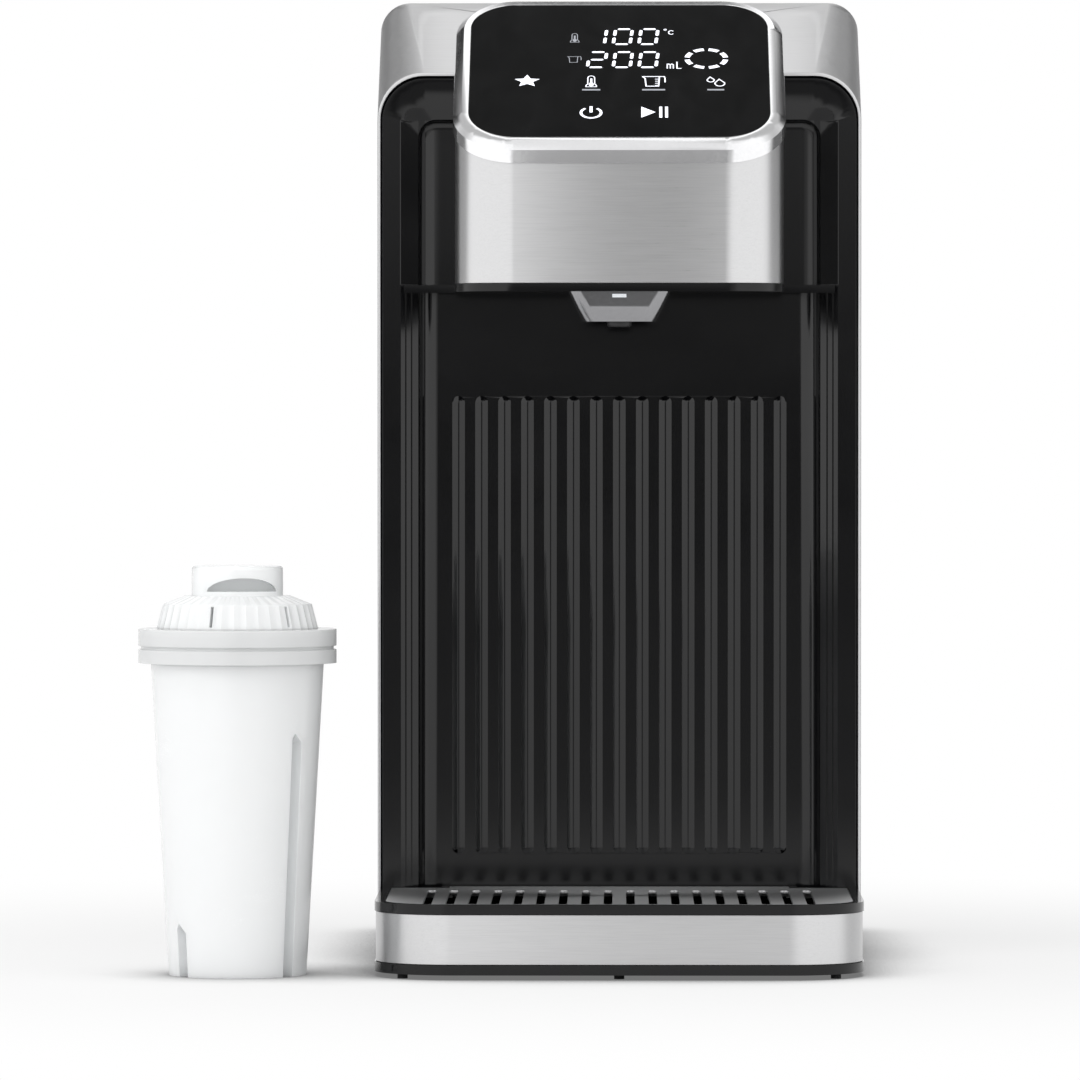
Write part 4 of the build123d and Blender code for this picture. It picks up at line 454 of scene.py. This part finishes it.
# Finishes, one for each kind of surface
steel = brushed("steel_brushed", (0.62, 0.62, 0.625), 0.32, "Y", droop=780.0)
steel_cover = brushed("steel_cover", (0.66, 0.66, 0.665), 0.30, "Z", crown=2.8)
steel_band = brushed("steel_band", (0.66, 0.66, 0.665), 0.32, "Z", crown=1.6)
steel_grid = brushed("steel_grid", (0.60, 0.605, 0.61), 0.42, "Z", anisotropy=0.5)
bezel_metal = plated("bezel_metal", (0.80, 0.80, 0.81), 0.13, droop=1100.0)
nozzle_metal = plated("nozzle_metal", (0.34, 0.34, 0.35), 0.18, ripple=0.000001)
fascia_black = moulded(
    "fascia_black", (0.0017, 0.0017, 0.0022), 0.12, grain=0.000002,
    turned=((PANEL_EDGE, SIDE_STEP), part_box("head_cover")[0][2], STEP_TOP),
)
inner_black = moulded("inner_black", (0.0055, 0.0056, 0.0060), 0.4)
tray_black = moulded("tray_black", (0.0019, 0.0019, 0.0024), 0.13, grain=0.000002, specular=0.4)
glass_black = panel_glass("glass_black")
tank_smoke = clear("tank_smoke", (0.50, 0.52, 0.54), 0.07, 0.92, 1.53)
natural = moulded("natural_plastic", (0.66, 0.65, 0.61), 0.42, grain=0.00003)
# The filter's flange, between FLANGE_LOW and FLANGE_HIGH, gets a band of painted grey shade
filter_white = moulded(
    "filter_white", (0.945, 0.96, 0.965), 0.24, grain=0.000001, spread=0.006, coat=0.1,
    depth=0.006, painted_shade_band=(FLANGE_LOW, FLANGE_HIGH, 0.45),
)
carbon = granules("filter_carbon", (0.03, 0.03, 0.032))
silicone = rubbery("silicone", (0.55, 0.54, 0.52), 0.55)
rubber = rubbery("rubber_black", (0.016, 0.016, 0.017), 0.75)
aluminium = cast("cast_aluminium", (0.62, 0.62, 0.61), 0.45)
zinc = plated("zinc_steel", (0.58, 0.58, 0.6), 0.3, grain_scale=2500.0)
motor_case = plated("motor_case", (0.46, 0.47, 0.48), 0.35, grain_scale=3000.0)
board_green = circuit("board_green", (0.008, 0.085, 0.030))
component = moulded("component_black", (0.022, 0.022, 0.023), 0.45, grain=0.00005)
brass = plated("brass", (0.72, 0.53, 0.24), 0.28)
window_light = lit("window_light", (0.66, 0.68, 0.71), 0.7)
symbol_light = lit("symbol_light", (0.90, 0.92, 1.0), 0.85)
symbol_faint = lit("symbol_faint", (0.27, 0.28, 0.31), 0.6)

# Finish of a node by the slot that it has, unless the node has one of its own
BY_SLOT = {
    "brushed_steel": steel,
    "bezel_metal": bezel_metal,
    "panel_glass": glass_black,
    "black_plastic": fascia_black,
    "gloss_black": tray_black,
    "tank_smoke": tank_smoke,
    "natural_plastic": natural,
    "filter_white": filter_white,
    "filter_carbon": carbon,
    "silicone": silicone,
    "rubber_black": rubber,
    "cast_aluminium": aluminium,
    "zinc_steel": zinc,
    "motor_case": motor_case,
    "board_green": board_green,
    "component_black": component,
    "brass": brass,
    "light_window": window_light,
}
BY_NODE = {
    "head_cover": steel_cover,
    "tray_band": steel_band,
    "drip_grid": steel_grid,
    "nozzle_shroud": nozzle_metal,
    "nozzle_tip": component,
    "head_body": tray_black,
    "rear_cover": inner_black,
    "base_chassis": inner_black,
    "base_bottom_plate": inner_black,
}
for name, node in nodes.items():
    mesh_materials = node.data.materials
    slot_name = mesh_materials[0].name.split(".")[0]
    finish = BY_NODE.get(name, BY_SLOT.get(slot_name))
    for index in range(len(mesh_materials)):
        mesh_materials[index] = finish


# How near two points have to be to become one, in metres, and the least angle of a sharp edge
WELD_REACH = 0.000002
SHARP_ANGLE = math.radians(35)


def soften(node, width):
    """Rounds the sharp edges of a node a little, as a real moulding or sheet has them."""
    weld = node.modifiers.new("weld", "WELD")
    weld.merge_threshold = WELD_REACH
    bevel = node.modifiers.new("edges", "BEVEL")
    bevel.width = width
    bevel.segments = 2
    bevel.limit_method = "ANGLE"
    bevel.angle_limit = SHARP_ANGLE
    bevel.use_clamp_overlap = True
    bevel.miter_outer = "MITER_ARC"
    weighted = node.modifiers.new("shading", "WEIGHTED_NORMAL")
    weighted.keep_sharp = False
    weighted.weight = 60


# Width of the rounded edges that show, in metres
EDGES = {
    "steel_shell": 0.00030,
    "front_fascia": 0.00030,
    "panel_bezel": 0.00035,
    "head_cover": 0.00025,
    "head_body": 0.00025,
    "nozzle_shroud": 0.00030,
    "nozzle_tip": 0.00020,
    "tray_body": 0.00035,
    "tray_band": 0.00020,
    "drip_grid": 0.00020,
    "filter_shell": 0.00035,
    "filter_cap": 0.00030,
    "rear_cover": 0.00040,
    "base_chassis": 0.00040,
    "water_tank": 0.00040,
    "tank_hopper": 0.00040,
    "tank_lid": 0.00050,
}
for name, width in EDGES.items():
    soften(nodes[name], width)


def on_glass(across, down, rise):
    """Point on the glass, in metres, for millimetres from the middle and down from the crest."""
    y = CREST_Y - down / 1000 * math.cos(SLOPE)
    z = CREST_Z + GLASS_RISE - down / 1000 * math.sin(SLOPE)
    lift = rise / 1000
    return Vector((across / 1000, y - lift * math.sin(SLOPE), z + lift * math.cos(SLOPE)))


class Sketch:
    """Flat shapes on the glass, in millimetres, as thin plates that stand a hair above it."""

    PLATE = (0.03, -0.02)
    SHORTEST_RUN = 0.000001
    SHARPEST_MITRE = 0.4

    def __init__(self):
        self.mesh = bmesh.new()

    def shape(self, points):
        """A filled polygon."""
        for rise in self.PLATE:
            corners = [self.mesh.verts.new(on_glass(x, y, rise)) for x, y in points]
            self.mesh.faces.new(corners if rise > 0 else corners[::-1])

    def line(self, points, width, closed=False):
        """A stroke of even width along the points, mitred at its corners."""
        count = len(points)
        left, right = [], []
        for index, (x, y) in enumerate(points):
            before = points[index - 1] if index or closed else points[0]
            after = points[(index + 1) % count] if index < count - 1 or closed else points[-1]
            directions = []
            for start, end in ((before, (x, y)), ((x, y), after)):
                run = Vector((end[0] - start[0], end[1] - start[1]))
                if run.length > self.SHORTEST_RUN:
                    directions.append(run.normalized())
            heading = sum(directions, Vector((0, 0))).normalized()
            normal = Vector((-heading.y, heading.x))
            bend = max(self.SHARPEST_MITRE, abs(heading.dot(directions[0])))
            half = width / 2 / bend
            left.append((x + normal.x * half, y + normal.y * half))
            right.append((x - normal.x * half, y - normal.y * half))
        last = count if closed else count - 1
        for index in range(last):
            after = (index + 1) % count
            self.shape([left[index], left[after], right[after], right[index]])

    def finish(self, name, glow):
        """Turns the sketch into a piece of the housing."""
        data = bpy.data.meshes.new(name)
        bmesh.ops.recalc_face_normals(self.mesh, faces=self.mesh.faces)
        self.mesh.to_mesh(data)
        self.mesh.free()
        data.materials.append(glow)
        piece = bpy.data.objects.new(name, data)
        bpy.context.scene.collection.objects.link(piece)
        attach(piece, "housing")


def ellipse(x, y, wide, high, start=0, end=360, count=28):
    """Points round an ellipse, with the angle measured from the right towards the top."""
    points = []
    for index in range(count + 1):
        angle = math.radians(start + (end - start) * index / count)
        points.append((x + wide * math.cos(angle), y - high * math.sin(angle)))
    return points


# Seven-segment figures: which strokes each has, and their measures in millimetres
SEGMENTS = {"0": "abcdef", "1": "bc", "2": "abged"}
FIGURE_WIDTH = 5.6
FIGURE_HEIGHT = 10.8
FIGURE_STROKE = 1.1
FIGURE_GAP = 0.6
FIGURE_LEAN = 0.075


def figure(sketch, number, x, y):
    """Seven-segment figure centred on (x, y), leaning to the right."""
    side, foot = FIGURE_WIDTH / 2, FIGURE_HEIGHT / 2
    tip = FIGURE_STROKE * 0.42
    half = FIGURE_STROKE / 2
    gap = FIGURE_GAP

    def leaning(points):
        return [(x + across - down * FIGURE_LEAN, y + down) for across, down in points]

    def bar(level):
        start, end = -side + gap, side - gap
        return leaning([
            (start, level), (start + tip, level - half), (end - tip, level - half),
            (end, level), (end - tip, level + half), (start + tip, level + half),
        ])

    def post(across, start, end):
        return leaning([
            (across, start), (across + half, start + tip), (across + half, end - tip),
            (across, end), (across - half, end - tip), (across - half, start + tip),
        ])

    strokes = {
        "a": bar(-foot),
        "g": bar(0),
        "d": bar(foot),
        "f": post(-side, -foot + gap, -gap),
        "b": post(side, -foot + gap, -gap),
        "e": post(-side, gap, foot - gap),
        "c": post(side, gap, foot - gap),
    }
    for letter in SEGMENTS[number]:
        sketch.shape(strokes[letter])


def scaled(points, x, y, size):
    """Points of a drawing round (0, 0), brought to their size and place."""
    return [(x + across * size, y + down * size) for across, down in points]


THERMOMETER = (
    (-1.75, 3.9), (-1.7, 2.9), (-1.15, 1.9), (-1.1, -2.6), (-0.75, -3.5), (0.0, -3.8),
    (0.75, -3.5), (1.1, -2.6), (1.15, 1.9), (1.7, 2.9), (1.75, 3.9),
)
JUG_BODY = ((-3.6, -3.4), (-2.7, -2.2), (-2.4, 3.2), (1.6, 3.2), (1.9, -3.4))
JUG_RIM_AND_HANDLE = ((-3.6, -3.4), (3.4, -3.4), (3.7, -2.2), (3.7, 0.6))


def thermometer(sketch, x, y, size):
    """Bulb thermometer: an arched tube on a flared foot, with the bulb and its column inside."""
    sketch.line(scaled(THERMOMETER, x, y, size), 0.34 * size, closed=True)
    sketch.shape(ellipse(x, y + 2.2 * size, 0.85 * size, 1.3 * size, 0, 350, 20))
    sketch.line(scaled(((0, -1.9), (0, 1.2)), x, y, size), 0.7 * size)


def jug(sketch, x, y, size, marks):
    """Measuring jug with a spout, a handle and the given number of marks."""
    for part in (JUG_BODY, JUG_RIM_AND_HANDLE):
        sketch.line(scaled(part, x, y, size), 0.42 * size)
    for mark in range(marks):
        level = -1.6 + 1.4 * mark
        sketch.line(scaled(((0.5, level), (1.5, level)), x, y, size), 0.32 * size)


# Columns and rows of the symbols, in millimetres from the middle and down from the crest
FIGURE_COLUMNS = (-7.4, 1.15, 9.7)
TEMPERATURE_ROW = 28.4
VOLUME_ROW = 44.9
FIRST_KEY = -9.3
SECOND_KEY = 11.3
THIRD_KEY = 31.8
BAR_ROW = 66.2
SWITCH_TOP = 78.1
SWITCH_FOOT = 85.7
DEGREE_SIGN = (15.3, 23.4)
DEGREE_LETTER = (17.3, 25.4)
UNIT_COLUMN = 15.9
UNIT_TOP = 47.9
UNIT_FOOT = 51.2
RING_MIDDLE = (28.9, 44.1)
RING_RADIUS = 6.4
RING_PARTS = 8
RING_HALF_PART = 15.5
STAR_MIDDLE = (-30.5, 60.0)
STAR_POINT = 4.4
STAR_NOTCH = 2.05
# Place, half width and height of each drop
DROPS = ((30.2, 59.4, 1.15, 2.2), (33.2, 61.8, 1.6, 3.0))

temperature = Sketch()
for number, column in zip("100", FIGURE_COLUMNS):
    figure(temperature, number, column, TEMPERATURE_ROW)
temperature.line(ellipse(*DEGREE_SIGN, 0.4, 0.45, 0, 360, 16), 0.28)
temperature.line(ellipse(*DEGREE_LETTER, 0.85, 1.35, 40, 320, 20), 0.36)
temperature.finish("digits_temperature", symbol_light)

volume = Sketch()
for number, column in zip("200", FIGURE_COLUMNS):
    figure(volume, number, column, VOLUME_ROW)
volume.line([(UNIT_COLUMN, UNIT_FOOT), (UNIT_COLUMN, UNIT_TOP)], 0.4)
for x in (UNIT_COLUMN, UNIT_COLUMN + 1.0):
    arch = [(x, 48.5), (x + 0.5, UNIT_TOP), (x + 1.0, 48.5), (x + 1.0, UNIT_FOOT)]
    volume.line(arch, 0.38)
volume.line([(19.1, 46.4), (19.1, 51.1), (20.6, 51.1)], 0.42)
volume.finish("digits_volume", symbol_light)

level_ring = Sketch()
for part in range(RING_PARTS):
    middle = 360 / RING_PARTS * (part + 0.5)
    start, end = middle - RING_HALF_PART, middle + RING_HALF_PART
    level_ring.line(ellipse(*RING_MIDDLE, RING_RADIUS, RING_RADIUS, start, end, 8), 1.75)
level_ring.finish("level_ring", symbol_light)

small_signs = Sketch()
thermometer(small_signs, -14.9, 29.2, 0.82)
jug(small_signs, -15.0, 44.8, 0.62, 0)
small_signs.finish("signs_beside_digits", symbol_faint)

keys = Sketch()
star = []
for corner in range(10):
    reach = STAR_NOTCH if corner % 2 else STAR_POINT
    angle = math.radians(90 + 36 * corner)
    across, down = STAR_MIDDLE
    star.append((across + reach * math.cos(angle), down - reach * math.sin(angle)))
keys.shape(star)
thermometer(keys, FIRST_KEY, 60.2, 1.0)
jug(keys, SECOND_KEY, 60.4, 1.03, 4)
for x, y, wide, high in DROPS:
    drop = ellipse(x, y, wide, high * 0.62, -200, 20, 16) + [(x - 0.2, y - high)]
    keys.line(drop, 0.4, closed=True)
keys.finish("key_signs", symbol_light)

# A plain bar under each sign of a key but the star's
bars = Sketch()
for x, half in ((FIRST_KEY, 3.0), (SECOND_KEY, 3.8), (THIRD_KEY, 2.8)):
    bars.line([(x - half, BAR_ROW), (x + half, BAR_ROW)], 1.0)
bars.finish("key_bars", symbol_faint)

switches = Sketch()
switches.line(ellipse(FIRST_KEY, 82.3, 3.3, 3.6, 125, 415, 32), 0.9)
switches.line([(FIRST_KEY, 77.8), (FIRST_KEY, 82.1)], 1.0)
switches.shape([(7.2, SWITCH_TOP), (11.9, 81.9), (7.2, SWITCH_FOOT)])
for x in (13.6, 15.5):
    switches.line([(x, SWITCH_TOP), (x, SWITCH_FOOT)], 0.95)
switches.finish("switch_signs", symbol_light)


def make_spring():
    """Copy of the spring of the tank's valve, carried by the tank, in place of the imported one.
    The real spring shortens from below as the poppet rises; this copy is not made to.
    """
    spring = bpy.data.objects.new("valve_coil", nodes["valve_spring"].data.copy())
    bpy.context.scene.collection.objects.link(spring)
    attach(spring, "tank")
    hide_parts("valve_spring")
    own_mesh(spring)


# The floor's half width, how near a piece has to be to darken it, and the colour of the painted
# contact shade there
FLOOR_REACH = 6.0
CONTACT_REACH = 0.045
PAINTED_CONTACT_SHADE = (0.25, 0.25, 0.26)
# Distances from the machine over which the floor's own white light takes over, and its share
GLOW_FROM, GLOW_TO = 0.13, 0.50
GLOW_NEAR, GLOW_FAR = 0.68, 1.0
# Light left at a contact, a painted contact shadow on the floor's glow, and the openness over
# which it comes back
LIGHT_AT_CONTACT = 0.25
CLOSED, OPEN = 0.35, 0.92
# The wedge straight ahead that mirror images show dark, a painted dark reflection on the
# floor: where it starts and is full, forwards in metres and as sideways over forwards, and how
# much light it takes away
WEDGE_FROM, WEDGE_TO = 0.45, 0.9
WEDGE_SIDE, WEDGE_MIDDLE = 0.28, 0.18
WEDGE_LOSS = 0.72


def make_floor():
    """White floor that keeps the shadow, with a painted contact shadow from an occlusion node,
    and glows more evenly the farther it is away.
    """
    made, tree = material("floor_white")
    rays = tree.add("ShaderNodeLightPath").outputs
    mirrored = tree.math("MAXIMUM", rays["Is Glossy Ray"], rays["Is Transmission Ray"])
    seen = tree.math("MAXIMUM", rays["Is Camera Ray"], mirrored)
    place = tree.place()
    distance = tree.add("ShaderNodeVectorMath", {0: place}, operation="LENGTH").outputs["Value"]
    share = tree.remap(distance, GLOW_FROM, GLOW_TO, GLOW_NEAR, GLOW_FAR, smooth=True)
    contact = tree.add(
        "ShaderNodeAmbientOcclusion", {"Distance": CONTACT_REACH}, samples=8
    ).outputs["AO"]
    paper = tree.noise(place, scale=900.0, detail=3.0)
    colour = tree.ramp(paper, [(0.3, grey(0.84)), (0.7, grey(0.87))])
    # Painted contact shadow: the floor's colour darkens where the occlusion node finds pieces
    # close
    shaded = tree.blend(tree.remap(contact, 0.3, 1.0, smooth=True), PAINTED_CONTACT_SHADE, colour)
    diffuse = tree.add("ShaderNodeBsdfDiffuse", {"Color": shaded})

    parts = tree.split(place)
    forward = tree.times(parts["Y"], -1.0)
    aside = tree.math("ABSOLUTE", parts["X"])
    slant = tree.math("DIVIDE", aside, tree.math("MAXIMUM", forward, 0.1))
    ahead = tree.times(
        tree.remap(forward, WEDGE_FROM, WEDGE_TO, smooth=True),
        tree.remap(slant, WEDGE_SIDE, WEDGE_MIDDLE, smooth=True),
    )
    # Painted dark reflection: glossy rays see the floor darker in the wedge ahead of the machine
    dark = tree.times(tree.times(ahead, rays["Is Glossy Ray"]), -WEDGE_LOSS)
    strength = tree.times(
        tree.math("ADD", dark, 1.0),
        tree.remap(contact, CLOSED, OPEN, LIGHT_AT_CONTACT, 1.0, smooth=True),
    )
    glow = tree.add("ShaderNodeEmission", {"Color": (1, 1, 1, 1), "Strength": strength})
    mix = tree.add("ShaderNodeMixShader", {0: tree.times(seen, share)})
    tree.links.new(diffuse.outputs[0], mix.inputs[1])
    tree.links.new(glow.outputs[0], mix.inputs[2])
    tree.output("ShaderNodeOutputMaterial", mix)

    data = bpy.data.meshes.new("floor")
    signs = ((-1, -1), (1, -1), (1, 1), (-1, 1))
    corners = [(across * FLOOR_REACH, along * FLOOR_REACH, 0) for across, along in signs]
    data.from_pydata(corners, [], [(0, 1, 2, 3)])
    data.materials.append(made)
    floor = bpy.data.objects.new("floor", data)
    bpy.context.scene.collection.objects.link(floor)


# Soft boxes: name, place, target, width, height, and radiance of the face
LAMPS = (
    ("lamp_above", (-0.1, -0.35, 1.6), (0, 0, 0.1), 1.6, 1.3, 0.55),
    ("lamp_left", (-1.3, -1.3, 0.9), (0, 0, 0.12), 0.9, 1.2, 2.6),
    ("lamp_right", (1.5, -0.85, 0.5), (0, 0, 0.15), 0.6, 1.3, 0.4),
)


def make_lamp(name, location, target, width, height, radiance):
    """Soft box that shining surfaces don't mirror."""
    data = bpy.data.lights.new(name, "AREA")
    data.shape = "RECTANGLE"
    data.size = width
    data.size_y = height
    data.energy = math.pi * width * height * radiance
    lamp = bpy.data.objects.new(name, data)
    lamp.location = location
    heading = Vector(target) - Vector(location)
    lamp.rotation_euler = heading.to_track_quat("-Z", "Y").to_euler()
    lamp.visible_glossy = False
    bpy.context.scene.collection.objects.link(lamp)


# Soft boxes and dark cloths of the studio, as shining surfaces see them round the machine:
# azimuth from the camera towards the right, elevation, half width, half height and half of the
# soft edge, all in degrees, and the level
STUDIO = (
    (-58, 0, 52, 75, 5, 1.34),
    (60, 0, 40, 75, 8, 1.30),
    (12, 0, 9, 75, 5, 0.62),
    (0, -10, 5, 36, 5, 0.62),
    (-140, 2, 26, 20, 6, 0.22),
    (137, 2, 28, 20, 8, 0.17),
    (-147, 29, 14, 16, 4, 0.03),
    (147, 29, 14, 16, 4, 0.02),
    (0, 0, 4, 1.3, 0.6, 0.32),
    (0, -1.5, 12, 2.5, 1, 0.07),
    (180, 62, 75, 25, 10, 0.60),
    (180, 64, 24, 24, 7, 1.45),
    (180, 60, 10, 6, 4, 0.13),
)
# Levels that matt surfaces see: beside the camera, behind the machine and overhead, and the
# azimuths and elevations, in radians, between which one passes into the next
MATT_FRONT = 0.86
MATT_BACK = 0.48
MATT_ABOVE = 0.78
BACK_FROM, BACK_TO = 1.2, 2.4
ABOVE_FROM, ABOVE_TO = 0.5, 1.1


def make_world():
    """Plain white for the camera, the studio for shining surfaces, calmer light for matt ones."""
    world = bpy.data.worlds.new("studio")
    bpy.context.scene.world = world
    tree = Tree(world)
    rays = tree.add("ShaderNodeLightPath").outputs
    shining = rays["Is Glossy Ray"]
    plain = tree.math("MAXIMUM", rays["Is Camera Ray"], rays["Is Transmission Ray"])
    parts = tree.split(tree.add("ShaderNodeTexCoord").outputs["Generated"])
    azimuth = tree.math("ARCTAN2", parts["X"], tree.times(parts["Y"], -1.0))
    elevation = tree.math("ARCSINE", parts["Z"])

    def inside(angle, middle, half, edge):
        away = tree.math("SUBTRACT", angle, math.radians(middle))
        away = tree.math("ABSOLUTE", tree.wrap(away, math.pi))
        return tree.remap(away, math.radians(half + edge), math.radians(half - edge), smooth=True)

    level = 1.0
    for middle, height, half_wide, half_high, edge, value in STUDIO:
        across = inside(azimuth, middle, half_wide, edge)
        upright = inside(elevation, height, half_high, edge)
        level = tree.mix(tree.times(across, upright), level, value)
    aside = tree.math("ABSOLUTE", azimuth)
    around = tree.remap(aside, BACK_FROM, BACK_TO, MATT_FRONT, MATT_BACK, smooth=True)
    overhead = tree.remap(elevation, ABOVE_FROM, ABOVE_TO, smooth=True)
    around = tree.mix(overhead, around, MATT_ABOVE)
    strength = tree.mix(shining, tree.math("MAXIMUM", plain, around), level)
    background = tree.add(
        "ShaderNodeBackground", {"Color": (1, 1, 1, 1), "Strength": strength}
    )
    tree.output("ShaderNodeOutputWorld", background)


make_spring()
make_floor()
make_world()
for lamp in LAMPS:
    make_lamp(*lamp)
